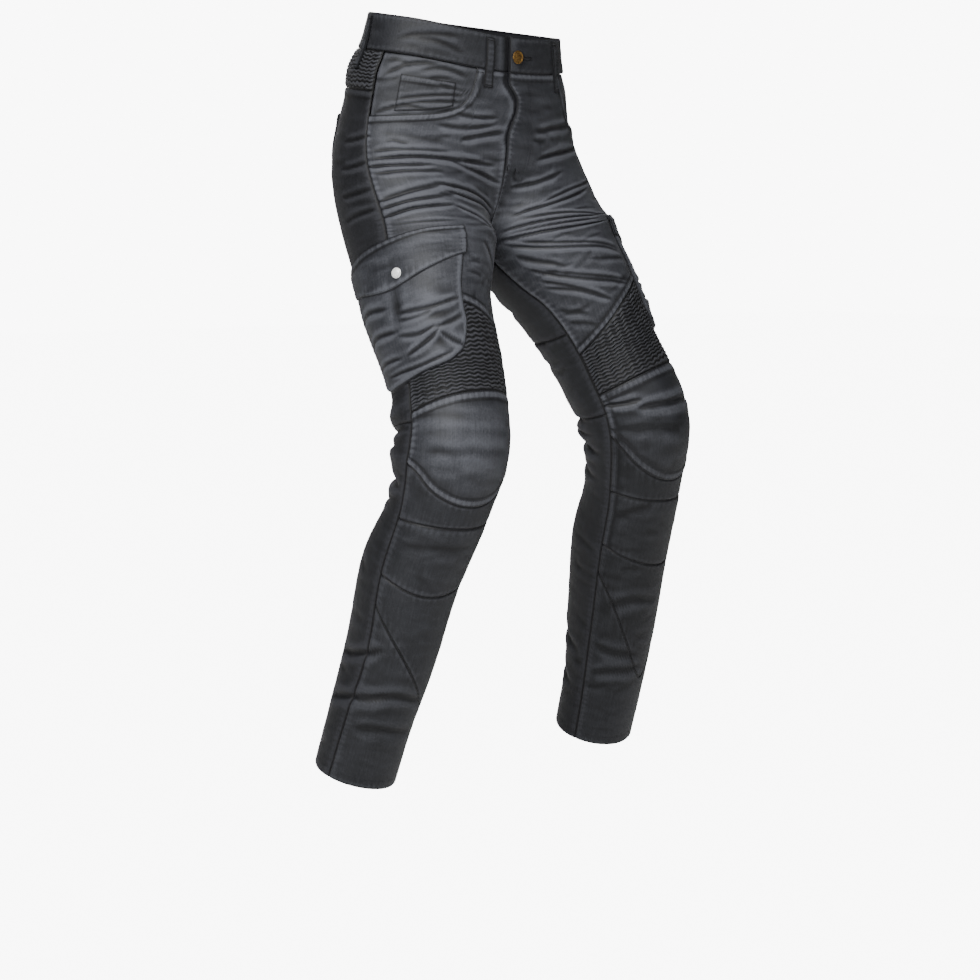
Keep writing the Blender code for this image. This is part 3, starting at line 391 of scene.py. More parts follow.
# %% Faint creases between them
# name, side, how many, u range, s range, length in u, depth, half_width
FAINT = (
    ("facing", RIGHT, 9, (-0.75, -0.20), (0.050, 0.112), 0.40, 0.0007, 0.0024),
    ("hip_front", RIGHT, 22, (-0.95, -0.25), (0.125, 0.270), 0.34, 0.0005, 0.0028),
    ("hip_front", LEFT, 26, (-0.90, -0.25), (0.125, 0.400), 0.34, 0.0005, 0.0028),
    ("thigh_inner", RIGHT, 12, (-0.85, -0.50), (0.270, 0.410), 0.20, 0.0005, 0.0030),
    ("knee", RIGHT, 6, (-0.85, -0.20), (0.500, 0.590), 0.30, 0.0002, 0.0040),
    ("knee", LEFT, 8, (-0.85, -0.20), (0.500, 0.590), 0.30, 0.0003, 0.0040),
    ("shin", RIGHT, 16, (-0.90, -0.15), (0.620, 0.960), 0.32, 0.0004, 0.0046),
    ("shin", LEFT, 18, (-0.90, -0.15), (0.620, 0.960), 0.32, 0.0005, 0.0042),
    ("seat", RIGHT, 24, (0.10, 0.95), (0.110, 0.390), 0.30, 0.0006, 0.0034),
    ("seat", LEFT, 24, (0.10, 0.95), (0.110, 0.390), 0.30, 0.0006, 0.0034),
    ("thigh_back", RIGHT, 16, (0.10, 1.05), (0.390, 0.510), 0.30, 0.0007, 0.0034),
    ("thigh_back", LEFT, 16, (0.10, 1.05), (0.390, 0.510), 0.30, 0.0007, 0.0034),
    ("calf", RIGHT, 34, (0.00, 1.00), (0.510, 0.960), 0.32, 0.0007, 0.0040),
    ("calf", LEFT, 34, (0.00, 1.00), (0.510, 0.960), 0.32, 0.0007, 0.0040),
)


def faint_creases(seed=11):
    """Rows like those of FOLDS, thrown at random inside the zones of FAINT."""
    random = np.random.default_rng(seed)
    rows = []
    for name, side, count, across, down, length, depth, half in FAINT:
        for _ in range(count):
            u, s = random.uniform(*across), random.uniform(*down)
            reach = length * random.uniform(0.35, 0.8) / 2
            slope, bow = random.normal(0.0, 0.006), random.normal(0.0, 0.004)
            rows.append((name, side, u - reach, s - slope, u, s + bow, u + reach, s + slope,
                         depth * random.uniform(0.4, 1.3), half * random.uniform(0.7, 1.4)))
    return rows


CREASES = list(FOLDS) + faint_creases()
print("folds laid by hand", len(FOLDS), "and faint ones", len(CREASES) - len(FOLDS))


# %% [markdown]
# A crease is a height over the map, worked out only near its own line, which keeps it
# quick. Folds fade out under the bellows pocket and under the lap of the fly, where two
# layers have to lie flat on each other.

# %% Height of the folds
def crease_shape(u, s, row):
    """Where one crease reaches, and its height there: a trough with a ridge on each side."""
    _, _, u0, s0, u1, s1, u2, s2, depth, half = row
    if u0 > u2:
        u0, s0, u2, s2 = u2, s2, u0, s0
    far = 5.0 * half
    lowest, highest = min(s0, s1, s2) - far, max(s0, s1, s2) + far
    near = (u > u0) & (u < u2) & (s > lowest) & (s < highest)
    at, down = u[near], s[near]
    reach = (at - u0) / (u2 - u0)
    middle = curve((u0, u1, u2), (s0, s1, s2), at)
    step = 0.01
    slope = (curve((u0, u1, u2), (s0, s1, s2), at + step) - middle) / (step * span(down))
    ends = ramp(0.0, 0.25, reach) * ramp(0.0, 0.25, 1.0 - reach)
    x = (down - middle) / (half * (0.6 + 0.4 * ends) * np.sqrt(1.0 + slope**2))
    trough = np.exp(-np.abs(x) ** 1.6)
    ridges = 0.36 * np.exp(-((x - 2.3) / 1.5) ** 2) + 0.18 * np.exp(-((x + 2.3) / 1.5) ** 2)
    return near, depth * ends * (ridges - trough)


def calm(side, u, s):
    """One where folds may run, zero under the lap of the fly and under the bellows pocket."""
    lap = -0.80 if side == LEFT else -0.93
    free_of_fly = np.maximum(ramp(lap - 0.07, lap, u), ramp(0.165, 0.195, s))
    from_pocket = u - CARGO_SHIFT[side]
    across = ramp(-0.53, -0.48, from_pocket) * (1.0 - ramp(0.20, 0.26, from_pocket))
    down = ramp(0.250, 0.275, s) * (1.0 - ramp(0.450, 0.475, s))
    return free_of_fly * (1.0 - across * down)


def relief(side, u, s):
    """Height of the swellings and folds above the smooth form."""
    turn = np.where(s > FORK_END, (u + 1.0) % 2.0 - 1.0, u)
    total = np.zeros_like(s)
    for _, where, at_u, at_s, across, down, height in SWELLINGS:
        if where == side:
            away = ((turn - at_u) * span(s) / across) ** 2 + ((s - at_s) / down) ** 2
            total += height * np.exp(-away)
    for row in CREASES:
        if row[1] == side:
            near, height = crease_shape(turn, s, row)
            total[near] += height
    return total * calm(side, u, s)


# %% [markdown]
# Broad patches make the cloth lighter or darker, one row each. Above zero they are painted
# light, as over the hip and the thigh, on the knee and on the pocket, where the wax is also
# rubbed off; below zero they are painted shade, as on the fly, the left knee and the left
# shin. Each is added to the wear that every fold gets on its own ridge. Painted on a picture
# they would fit one view only, while on the map they stay on the cloth.

# %% Painted light and shade, and worn wax
# name, side, u, s, reach_u, reach_s, amount: above zero painted light and rubbed wax, below zero painted
# shade
LIGHT_AND_WEAR_PATCHES = (
    ("hip", RIGHT, -0.46, 0.160, 0.34, 0.060, 0.22),
    ("thigh", RIGHT, -0.46, 0.285, 0.26, 0.070, 0.34),
    ("pocket", RIGHT, -0.26, 0.400, 0.20, 0.060, 0.14),
    ("knee", RIGHT, -0.44, 0.535, 0.24, 0.036, 0.34),
    ("groin", LEFT, -0.80, 0.262, 0.26, 0.040, 0.22),
    ("thigh", LEFT, -0.62, 0.310, 0.22, 0.060, 0.20),
    ("fly", LEFT, -0.92, 0.090, 0.18, 0.075, -0.34),
    ("hip", LEFT, -0.30, 0.120, 0.40, 0.060, -0.12),
    ("inner_thigh", RIGHT, -0.80, 0.310, 0.18, 0.060, 0.48),
    ("knee", LEFT, -0.60, 0.550, 0.45, 0.050, -0.62),
    ("shin", LEFT, -0.60, 0.760, 0.70, 0.160, -0.60),
    ("hip_side", RIGHT, -0.16, 0.200, 0.10, 0.100, -0.16),
    ("shin_low", RIGHT, -0.50, 0.900, 0.60, 0.080, -0.20),
)


def light_and_wear(side, u, s):
    """Broad painted light and shade and wear of one side, added to the wear of each single fold."""
    total = np.zeros_like(s)
    for _, where, at_u, at_s, across, down, amount in LIGHT_AND_WEAR_PATCHES:
        if where == side:
            total += amount * np.exp(-((u - at_u) / across) ** 2 - ((s - at_s) / down) ** 2)
    return total


print("patches of wear", len(LIGHT_AND_WEAR_PATCHES))

# %% [markdown]
# The direction out of the cloth is found by measuring the smooth form a little to each
# side, and the folds are raised along it. The inner thighs nearly touch, so each leg is
# kept on its own side of the middle.

# %% Points on the cloth
def own_side(side, s, place):
    """Points below the fly kept on their own side of the middle."""
    margin = 0.00015 + 0.001 * ramp(FORK_END, FORK_END + 0.02, s)
    beside = side * np.maximum(side * place[..., 0], margin)
    across = np.where(s > FLY_END, beside, place[..., 0])
    return np.stack([across, place[..., 1], place[..., 2]], -1)


def skin(side, u, s):
    """Outer face of the cloth, the direction out of it and the height of its folds."""
    u, s = np.broadcast_arrays(np.asarray(u, float), np.asarray(s, float))
    du, ds = 0.004, 0.001
    along_u = body(side, u + du, s) - body(side, u - du, s)
    along_s = body(side, u, s + ds) - body(side, u, s - ds)
    out = unit(np.cross(along_s, along_u)) * side
    height = relief(side, u, s)
    place = body(side, u, s) + out * height[..., None]
    return own_side(side, s, place), out, height


# %% [markdown]
# ## Cutting a piece
#
# Each piece of a garment has four sides here: a top and a foot seam, and a first and a
# last side line. The grid of its mesh runs from side to side, a few millimetres apart,
# with extra rows close to the seams so that a turned edge can be rounded. The mesh is a
# thin closed shell, because a single surface would show no thickness at the waist
# and at the hems.

# %% Spacing of a grid
ROW_PITCH = 0.0025      # folds run across, so the rows are close
COLUMN_PITCH = 0.0040
EDGE_STEPS = (0.0, 0.0004, 0.0010, 0.0020)


def places(length, pitch):
    """Places from 0 to 1 along a length: close at both ends, even between."""
    margin = EDGE_STEPS[-1]
    count = max(int(np.ceil((length - 2 * margin) / pitch)), 2)
    middle = np.linspace(margin, length - margin, count + 1)
    ends = np.array(EDGE_STEPS[:-1])
    return np.concatenate([ends, middle, length - ends[::-1]]) / length


def lap_over(s):
    """How far in u the edge of the fly stands back from the middle."""
    return 0.058 * ramp(0.058, 0.086, s) * (1.0 - ramp(0.094, 0.143, s))


def front_lines(side, s):
    """u of the inner line and of the outseam of a front piece at s."""
    inner = line(INSEAM, np.maximum(s, FORK_END))
    inner = np.where(s < FORK_END, -1.0, inner)
    if side == LEFT:
        over = lap_over(s)
    else:
        over = -0.120 * (1.0 - ramp(0.115, FLY_END, s))
    return inner + over, line(OUTSEAM, s)


def back_lines(side, s):
    """u of the outseam and of the inner line of a back piece at s."""
    inner = np.where(s < FORK_END, 1.0, 2.0 + line(INSEAM, np.maximum(s, FORK_END)))
    return line(OUTSEAM, s), inner


def straight(first, last):
    """Side lines that keep the same u all the way down."""
    return lambda side, s: (np.full(s.shape, first), np.full(s.shape, last))


def level(value):
    """Seam that lies at the same height all round."""
    return lambda parts: value + 0.0 * parts


def seam(table):
    """Seam read from a table of (part, s) pairs."""
    return lambda parts: line(table, parts)


def distance_to(x, y, line_x, line_y):
    """Distance of each point from a line of points on the flat cloth."""
    nearest = np.full(x.shape, np.inf)
    for ax, ay, bx, by in zip(line_x[:-1], line_y[:-1], line_x[1:], line_y[1:]):
        long = max((bx - ax) ** 2 + (by - ay) ** 2, 1e-14)
        t = np.clip(((x - ax) * (bx - ax) + (y - ay) * (by - ay)) / long, 0.0, 1.0)
        nearest = np.minimum(nearest, (x - ax - t * (bx - ax)) ** 2 + (y - ay - t * (by - ay)) ** 2)
    return np.sqrt(nearest)


class Cut:
    """Grid of one piece on the map, and how far each point is from the four sides.

    warp may crowd the columns, trim leaves a gap to the neighbours, and a higher evening
    makes the rows leave the shape of the top seam sooner.
    """

    def __init__(self, side, lines, top, foot, pitch=(ROW_PITCH, COLUMN_PITCH), warp=None, trim=0.00012,
                 evening=1):
        self.side = side
        self.pitch = pitch
        guess = np.linspace(0.0, 1.0, 21)
        high, low = top(guess), foot(guess)
        first, last = lines(side, (high + low) / 2)
        width = float(np.max((last - first) * span((high + low) / 2)))
        parts = places(width, pitch[1])[None, :]
        down = places(float(np.max(low - high)), pitch[0])[:, None]
        self.parts = parts + 0.0 * down if warp is None else warp(down, parts)
        even_parts = parts + 0.0 * down
        high = top(even_parts) + trim
        low = foot(even_parts) - trim
        self.down = down + 0.0 * parts
        lowest = high.max()
        self.s = lowest + (low - lowest) * self.down + (high - lowest) * (1.0 - self.down) ** evening
        first, last = lines(side, self.s)
        inset = 0.0006
        self.u = first + inset + (last - first - 2 * inset) * self.parts
        x, y = self.u * span(self.s), self.s
        borders = {"top": (0, slice(None)), "foot": (-1, slice(None)),
                   "first": (slice(None), 0), "last": (slice(None), -1)}
        self.from_edge = {edge: distance_to(x, y, x[k], y[k]) for edge, k in borders.items()}
        self.along = {"top": self.u * span(self.s), "foot": self.u * span(self.s),
                      "first": self.s, "last": self.s}
        # painted shade in the seams and beside the lap, filled in later
        self.painted_shade = np.zeros_like(self.s)


# %% [markdown]
# ## Edges and seams
#
# A sewn edge is thicker than the cloth beside it: the allowance is folded under and
# stitched down, so it stands up as a flat band, and the thread draws it into small
# puckers. Between two pieces the edges roll down into a groove. All of that is a height
# added over the grid, which is simpler and safer than modelling the layers one by one.

# %% Height of the edges
GROOVE_DEPTH, GROOVE_REACH = 0.0012, 0.0013
FELL_HEIGHT, FELL_WIDTH = 0.0006, 0.0085
PUCKER_HEIGHT, PUCKER_PITCH = 0.00019, 0.0072


def random_grid(seed, size=128):
    """Square of random numbers between -1 and 1."""
    return np.random.default_rng(seed).uniform(-1.0, 1.0, (size, size))


def noise(x, y, seed):
    """Smooth random value between -1 and 1 over cells of size one."""
    grid = random_grid(seed)
    size = len(grid)
    i, j = np.floor(x).astype(int), np.floor(y).astype(int)
    a, b = ramp(0, 1, x - i), ramp(0, 1, y - j)
    corners = [grid[(i + m) % size, (j + n) % size] for m in (0, 1) for n in (0, 1)]
    low = corners[0] * (1 - b) + corners[1] * b
    high = corners[2] * (1 - b) + corners[3] * b
    return low * (1 - a) + high * a


def edge_height(cut, felled=(), drawn=(), piped=()):
    """Rolled edges all round, flat bands on the felled ones and puckers on the drawn ones.

    The shade that falls into the seam grooves and beside each felled band is painted into the colour; it is
    noted on the cut for its material.
    """
    total = np.zeros_like(cut.s)
    for edge, away in cut.from_edge.items():
        total -= GROOVE_DEPTH * np.exp(-((away / GROOVE_REACH) ** 2))
        # painted shade in the groove along every edge
        cut.painted_shade += 1.8 * np.exp(-((away / 0.0014) ** 2))
        if edge in felled:
            total += FELL_HEIGHT * (1.0 - ramp(FELL_WIDTH, FELL_WIDTH + 0.0014, away))
            # painted shade beside the step of a felled band
            cut.painted_shade += 1.7 * np.exp(-(((away - FELL_WIDTH - 0.0002) / 0.0013) ** 2))
        if edge in piped:
            below_fly = ramp(FORK_END - 0.03, FORK_END, cut.s)
            total += 0.0009 * below_fly * np.exp(-(((away - 0.0016) / 0.0012) ** 2))
        if edge in felled or edge in drawn:
            along = cut.along[edge]
            wander = noise(along / 0.021, away / 0.012, 5)
            wave = np.sin(2 * pi * along / PUCKER_PITCH + 2.2 * wander)
            total += PUCKER_HEIGHT * wave * np.exp(-(((away - 0.004) / 0.0055) ** 2))
    return total


def drape_noise(cut, height):
    """Unevenness of worn cloth, longer across than down."""
    across, down = cut.u * span(cut.s), cut.s
    wide = noise(across / 0.030 + 40, down / 0.0085, 21 + cut.side)
    fine = noise(across / 0.014 + 90, down / 0.0040, 31 + cut.side)
    return height * (wide + 0.4 * fine)


# %% [markdown]
# ## Shells of cloth
#
# The outer grid and the inner grid become one closed mesh. The rim between them is marked
# sharp, so that the shading does not smear over the cut edge. Two things travel with the
# mesh for the materials: the map in metres as its UVs, so that the weave is as large as on
# the real cloth, and a `ridge` value per point. It is above zero on the crest of a fold,
# where the wax wears off and a highlight is painted, and below zero in a trough and along a
# seam, where shade is painted; broad patches of painted light and shade are added to it.

# %% Mesh of a shell
RIDGE_REACH = 0.0075    # how far around a point its surroundings are averaged


def averaged(grid, pitch):
    """Rows of a grid averaged over RIDGE_REACH to both sides."""
    reach = max(int(round(RIDGE_REACH / pitch)), 1)
    wide = np.pad(grid, ((reach, reach), (0, 0)), mode="edge")
    return sum(wide[k:k + len(grid)] for k in range(2 * reach + 1)) / (2 * reach + 1)


def ridge_of(cut, height):
    """How far each point stands above the points around it, in half millimetres."""
    even = np.linspace(0.0, 1.0, height.shape[1])
    around = np.stack([np.interp(even, parts, row) for parts, row in zip(cut.parts, height)])
    around = averaged(averaged(around, cut.pitch[0]).T, cut.pitch[1]).T
    around = np.stack([np.interp(parts, even, row) for parts, row in zip(cut.parts, around)])
    return np.clip((height - around) / 0.0005, -1.0, 1.0)


def shell(name, outer, inner, uv, ridge):
    """Closed mesh between two grids of points that face each other."""
    rows, columns = outer.shape[:2]
    count = rows * columns
    index = np.arange(count).reshape(rows, columns)
    quads = np.stack([index[:-1, :-1], index[:-1, 1:], index[1:, 1:], index[1:, :-1]], -1).reshape(-1, 4)
    rim = np.concatenate([index[0], index[1:, -1], index[-1, -2::-1], index[-2:0:-1, 0]])
    onward = np.roll(rim, -1)
    wall = np.stack([onward, rim, rim + count, onward + count], -1)
    faces = np.concatenate([quads, quads[:, ::-1] + count, wall])
    i, j = rows // 2, columns // 2
    across, down = outer[i, j + 1] - outer[i, j], outer[i + 1, j] - outer[i, j]
    if np.dot(np.cross(across, down), outer[i, j] - inner[i, j]) < 0:
        faces = faces[:, ::-1]
    points = np.concatenate([outer.reshape(-1, 3), inner.reshape(-1, 3)])
    mesh = bpy.data.meshes.new(name)
    mesh.from_pydata(points.tolist(), [], faces.tolist())
    mesh.polygons.foreach_set("use_smooth", np.ones(len(faces), bool))
    mark_rim(mesh, rim, count)
    both = np.concatenate([ridge.ravel(), 0.3 * ridge.ravel()])
    mesh.attributes.new("ridge", "FLOAT", "POINT").data.foreach_set("value", both)
    corners = np.empty(len(mesh.loops), int)
    mesh.loops.foreach_get("vertex_index", corners)
    flat = np.tile(uv.reshape(-1, 2), (2, 1))
    mesh.uv_layers.new(name="cloth").data.foreach_set("uv", flat[corners].ravel())
    mesh.update()
    piece = bpy.data.objects.new(name, mesh)
    bpy.context.scene.collection.objects.link(piece)
    return piece


def mark_rim(mesh, rim, count):
    """Sharp edges along both borders of a shell."""
    border = np.zeros(2 * count, int)
    border[rim] = 1
    border[rim + count] = 2
    ends = np.empty(2 * len(mesh.edges), int)
    mesh.edges.foreach_get("vertices", ends)
    a, b = border[ends[::2]], border[ends[1::2]]
    sharp = (a == b) & (a > 0)
    mesh.attributes.new("sharp_edge", "BOOLEAN", "EDGE").data.foreach_set("value", sharp)


# %% [markdown]
# One function finishes every piece. It raises the grid over the folded cloth, closes it to
# a shell, hides the plain solid it stands in for and prints its size when laid flat.
# That size is measured on the smooth form, before any fold.

# %% A finished piece of cloth
PIECES = {}


def sew(name, cut, lift, thick, replaced, soft=0.00022, fullness=1.0):
    """Shell of one piece at a height above the cloth, printed with its flat size."""
    place, out, folds = skin(cut.side, cut.u, cut.s)
    lift = lift + drape_noise(cut, soft)
    outer = own_side(cut.side, cut.s, place + out * lift[..., None])
    inner = own_side(cut.side, cut.s, place + out * (lift - thick)[..., None])
    uv = np.stack([cut.u * span(cut.s), cut.s], -1)
    # lighter crests of worn wax and painted highlight, broad painted light and shade, and painted shade in
    # the seams, in one value
    wear_light_and_shade = ridge_of(cut, folds + lift) + light_and_wear(cut.side, cut.u, cut.s) - cut.painted_shade
    piece = shell(name, outer, inner, uv, np.maximum(wear_light_and_shade, -1.0))
    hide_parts(replaced)
    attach(piece, "root")
    width, length, area = flat_size(cut, fullness)
    PIECES[name] = (cut, outer, out)
    print(f"{name}: {outer.shape[0]} x {outer.shape[1]} points, "
          f"flat {width:.3f} x {length:.3f} m, area {area:.4f} m2")
    return piece


def flat_size(cut, fullness):
    """Width, length and area of the cut before it was worn; fullness is cloth taken up by ribs."""
    smooth = body(cut.side, cut.u, cut.s)
    across = np.linalg.norm(np.diff(smooth, axis=1), axis=-1)
    down = np.linalg.norm(np.diff(smooth, axis=0), axis=-1)
    width, length = across.sum(1).max(), fullness * down.sum(0).max()
    normal = np.cross(smooth[:-1, 1:] - smooth[:-1, :-1], smooth[1:, :-1] - smooth[:-1, :-1])
    area = fullness * np.linalg.norm(normal, axis=-1).sum()
    return float(width), float(length), float(np.clip(area, 0.31 * width * length, width * length))


# %% [markdown]
# ## Shader building blocks
#
# Waxed denim, stretch cloth and thread share the same two effects: a fine structure of
# yarns, and wax that is worn off the ridges and lies thick in the troughs. Each effect is
# a node group with named inputs and outputs, so a material only sets its own values.

# %% Small helpers for node trees
def node(tree, kind, wires=(), **settings):
    """Node of a kind, with its settings, and its inputs wired or set by name or number."""
    made = tree.nodes.new(kind)
    for key, value in settings.items():
        setattr(made, key, value)
    for key, value in dict(wires).items():
        if isinstance(value, bpy.types.NodeSocket):
            tree.links.new(value, made.inputs[key])
        else:
            made.inputs[key].default_value = value
    return made


def new_group(name, inputs, outputs):
    """Node group with named sockets; returns the tree and its input sockets by name."""
    tree = bpy.data.node_groups.new(name, "ShaderNodeTree")
    for label, kind, value in inputs:
        socket = tree.interface.new_socket(name=label, in_out="INPUT", socket_type=kind)
        socket.default_value = value
    for label, kind in outputs:
        tree.interface.new_socket(name=label, in_out="OUTPUT", socket_type=kind)
    return tree, node(tree, "NodeGroupInput").outputs


def mix_colour(tree, share, low, high):
    """Colour between two others."""
    made = node(tree, "ShaderNodeMix", data_type="RGBA")
    for socket, value in ((made.inputs[0], share), (made.inputs[6], low), (made.inputs[7], high)):
        if isinstance(value, bpy.types.NodeSocket):
            tree.links.new(value, socket)
        else:
            socket.default_value = value
    return made.outputs[2]


def maths(tree, operation, first, second=0.0, third=0.0):
    """Result of one arithmetic step."""
    wires = {0: first, 1: second, 2: third}
    return node(tree, "ShaderNodeMath", wires, operation=operation).outputs[0]


# %% [markdown]
# The yarns of denim run in a fine diagonal, the twill, and are a little uneven along
# their length, the slub. The group reads the map in metres from the UVs, so both have
# their real size. It gives a height for the bump and a tone to vary the colour.

# %% Group: yarns
def yarn_group():
    """Diagonal twill and long uneven yarns."""
    tree, given = new_group(
        "yarns",
        (("Twill", "NodeSocketFloat", 520.0), ("Slub", "NodeSocketFloat", 700.0)),
        (("Height", "NodeSocketFloat"), ("Tone", "NodeSocketFloat")))
    place = node(tree, "ShaderNodeUVMap", uv_map="cloth").outputs[0]
    wave = node(tree, "ShaderNodeTexWave", {"Vector": place, "Scale": given["Twill"], "Distortion": 1.2,
                                            "Detail": 1.0, "Detail Scale": 0.4},
                bands_direction="DIAGONAL").outputs["Fac"]
    stretched = node(tree, "ShaderNodeVectorMath", {0: place, 1: (1.0, 0.045, 1.0)}, operation="MULTIPLY")
    slub = node(tree, "ShaderNodeTexNoise", {"Vector": stretched.outputs[0], "Scale": given["Slub"],
                                             "Detail": 3.0, "Roughness": 0.6}).outputs["Fac"]
    height = maths(tree, "MULTIPLY_ADD", slub, 0.6, maths(tree, "MULTIPLY", wave, 0.4))
    tone = maths(tree, "MULTIPLY_ADD", slub, 0.75, maths(tree, "MULTIPLY", wave, 0.25))
    node(tree, "NodeGroupOutput", {"Height": height, "Tone": tone})
    return tree


YARNS = yarn_group()

# %% [markdown]
# Wax makes denim dark and a little glossy. It cracks and rubs off where the cloth stands
# up, which leaves the ridges lighter and duller; their lighter colour is also a painted
# highlight. The troughs get a darker colour, which is painted shade. The group takes the
# `ridge` value of the mesh and breaks it up with two noises, a broad one for patches of
# wear and a fine one for the rubbed grain.

# %% Group: wax wear and painted shade
def wear_and_shade_group():
    """Colour and roughness of a waxed surface that is worn on its ridges, with a painted highlight on the
    ridges and painted shade in the troughs.
    """
    tree, given = new_group(
        "wax_wear_and_shade",
        (("Waxed", "NodeSocketColor", (0.05, 0.05, 0.06, 1)),
         ("Worn And Lit", "NodeSocketColor", (0.1, 0.1, 0.11, 1)),
         ("Trough Shade", "NodeSocketColor", (0.02, 0.02, 0.02, 1)),
         ("Yarn Tone", "NodeSocketFloat", 0.5),
         ("Patches", "NodeSocketFloat", 0.5),
         ("Gloss", "NodeSocketFloat", 0.45)),
        (("Color", "NodeSocketColor"), ("Roughness", "NodeSocketFloat"), ("Height", "NodeSocketFloat")))
    place = node(tree, "ShaderNodeUVMap", uv_map="cloth").outputs[0]
    ridge = node(tree, "ShaderNodeAttribute", attribute_name="ridge").outputs["Fac"]
    patch = node(tree, "ShaderNodeTexNoise", {"Vector": place, "Scale": 26.0, "Detail": 4.0,
                                              "Roughness": 0.6}).outputs["Fac"]
    grain = node(tree, "ShaderNodeTexNoise", {"Vector": place, "Scale": 420.0, "Detail": 2.0,
                                              "Roughness": 0.7}).outputs["Fac"]
    broken = maths(tree, "MULTIPLY_ADD", grain, 1.2, -0.60)
    crest = maths(tree, "ADD", ridge, broken)
    # lighter crests: worn wax and a painted highlight
    light_and_wear = node(tree, "ShaderNodeMapRange", {"Value": crest, "From Min": 0.0, "From Max": 1.1}).outputs[0]
    # painted shade in the troughs and the seams
    trough_shade = node(tree, "ShaderNodeMapRange", {"Value": ridge, "From Min": -0.1, "From Max": -0.9}).outputs[0]
    spread = maths(tree, "MULTIPLY_ADD", patch, 1.7, -0.35)
    faded = maths(tree, "MULTIPLY", spread, given["Patches"])
    share = maths(tree, "MULTIPLY_ADD", light_and_wear, 0.75, faded)
    yarn = maths(tree, "MULTIPLY_ADD", given["Yarn Tone"], 0.80, -0.40)
    share = node(tree, "ShaderNodeClamp", {"Value": maths(tree, "ADD", share, yarn)}).outputs[0]
    colour = mix_colour(tree, share, given["Waxed"], given["Worn And Lit"])
    colour = mix_colour(tree, maths(tree, "MULTIPLY", trough_shade, 0.75), colour, given["Trough Shade"])
    rough = maths(tree, "MULTIPLY_ADD", share, 0.16, given["Gloss"])
    rough = maths(tree, "MULTIPLY_ADD", grain, 0.08, rough)
    node(tree, "NodeGroupOutput", {"Color": colour, "Roughness": rough, "Height": grain})
    return tree


WEAR_AND_SHADE = wear_and_shade_group()


# %% [markdown]
# ## The cloths
#
# One function makes every woven cloth. The charcoal denim of the fronts carries the most
# wear. A darker copy of it on the shins, the band and the loops is painted shade, and the
# back is darker still. The stretch cloth of the ribs is black with pale crests, which are
# worn wax and a painted highlight. The sheen of the fibres hardly changes, so it is set
# on the shader's own sockets.

# %% Woven materials
def woven(name, waxed, worn_and_lit, trough, patches, gloss, bump=0.35, sheen=0.05, twill=520.0):
    """Material of one cloth, from the yarn group and the group of wear and painted shade."""
    material = bpy.data.materials.new(name)
    material.use_nodes = True
    tree = material.node_tree
    tree.nodes.clear()
    yarns = node(tree, "ShaderNodeGroup", node_tree=YARNS)
    yarns.inputs["Twill"].default_value = twill
    wear_light_and_shade = node(tree, "ShaderNodeGroup", node_tree=WEAR_AND_SHADE)
    for label, value in (("Waxed", waxed + (1,)), ("Worn And Lit", worn_and_lit + (1,)), ("Trough Shade", trough + (1,)),
                         ("Patches", patches), ("Gloss", gloss)):
        wear_light_and_shade.inputs[label].default_value = value
    tree.links.new(yarns.outputs["Tone"], wear_light_and_shade.inputs["Yarn Tone"])
    height = maths(tree, "MULTIPLY_ADD", wear_light_and_shade.outputs["Height"], 0.5, yarns.outputs["Height"])
    relief_node = node(tree, "ShaderNodeBump", {"Height": height, "Strength": bump, "Distance": 0.0004})
    shader = node(tree, "ShaderNodeBsdfPrincipled", {
        "Base Color": wear_light_and_shade.outputs["Color"], "Roughness": wear_light_and_shade.outputs["Roughness"],
        "Normal": relief_node.outputs[0], "Sheen Weight": sheen, "Sheen Roughness": 0.45,
        "Specular IOR Level": 0.27})
    node(tree, "ShaderNodeOutputMaterial", {"Surface": shader.outputs[0]})
    return material


FRONT_DENIM = woven("front_denim", (0.018, 0.019, 0.023), (0.086, 0.090, 0.104), (0.002, 0.002, 0.0025),
                    patches=0.40, gloss=0.42)
# a darker copy of the front denim: painted shade on the shins, the band and the loops
SHADED_DENIM = woven("shaded_denim", (0.010, 0.0105, 0.0128), (0.044, 0.046, 0.054), (0.0015, 0.0015, 0.002),
                   patches=0.34, gloss=0.44)
BACK_DENIM = woven("back_denim", (0.007, 0.0073, 0.009), (0.030, 0.031, 0.037), (0.001, 0.001, 0.0013),
                   patches=0.28, gloss=0.50)
FACING_DENIM = woven("facing_denim", (0.017, 0.018, 0.021), (0.070, 0.073, 0.084), (0.002, 0.002, 0.0025),
                     patches=0.36, gloss=0.46)
# near black with pale crests: worn wax and a painted highlight
RIB_CLOTH = woven("rib_cloth", (0.0012, 0.0012, 0.0015), (0.060, 0.062, 0.072), (0.0006, 0.0006, 0.0008),
                  patches=0.04, gloss=0.46, bump=0.2, sheen=0.06, twill=900.0)
THREAD = woven("thread", (0.004, 0.004, 0.005), (0.014, 0.0145, 0.017), (0.002, 0.002, 0.0025),
               patches=0.2, gloss=0.50, bump=0.1)
print("cloths", [material.name for material in bpy.data.materials])


# %% [markdown]
# ## The metals
#
# The button is brass that has gone brown in places. The snaps are painted nearly white,
# partly a whitish plating and partly a painted highlight, so only a little of them is set
# as bare metal. Both are cast or pressed parts with stains and scratches, which a broad and
# a fine noise give.

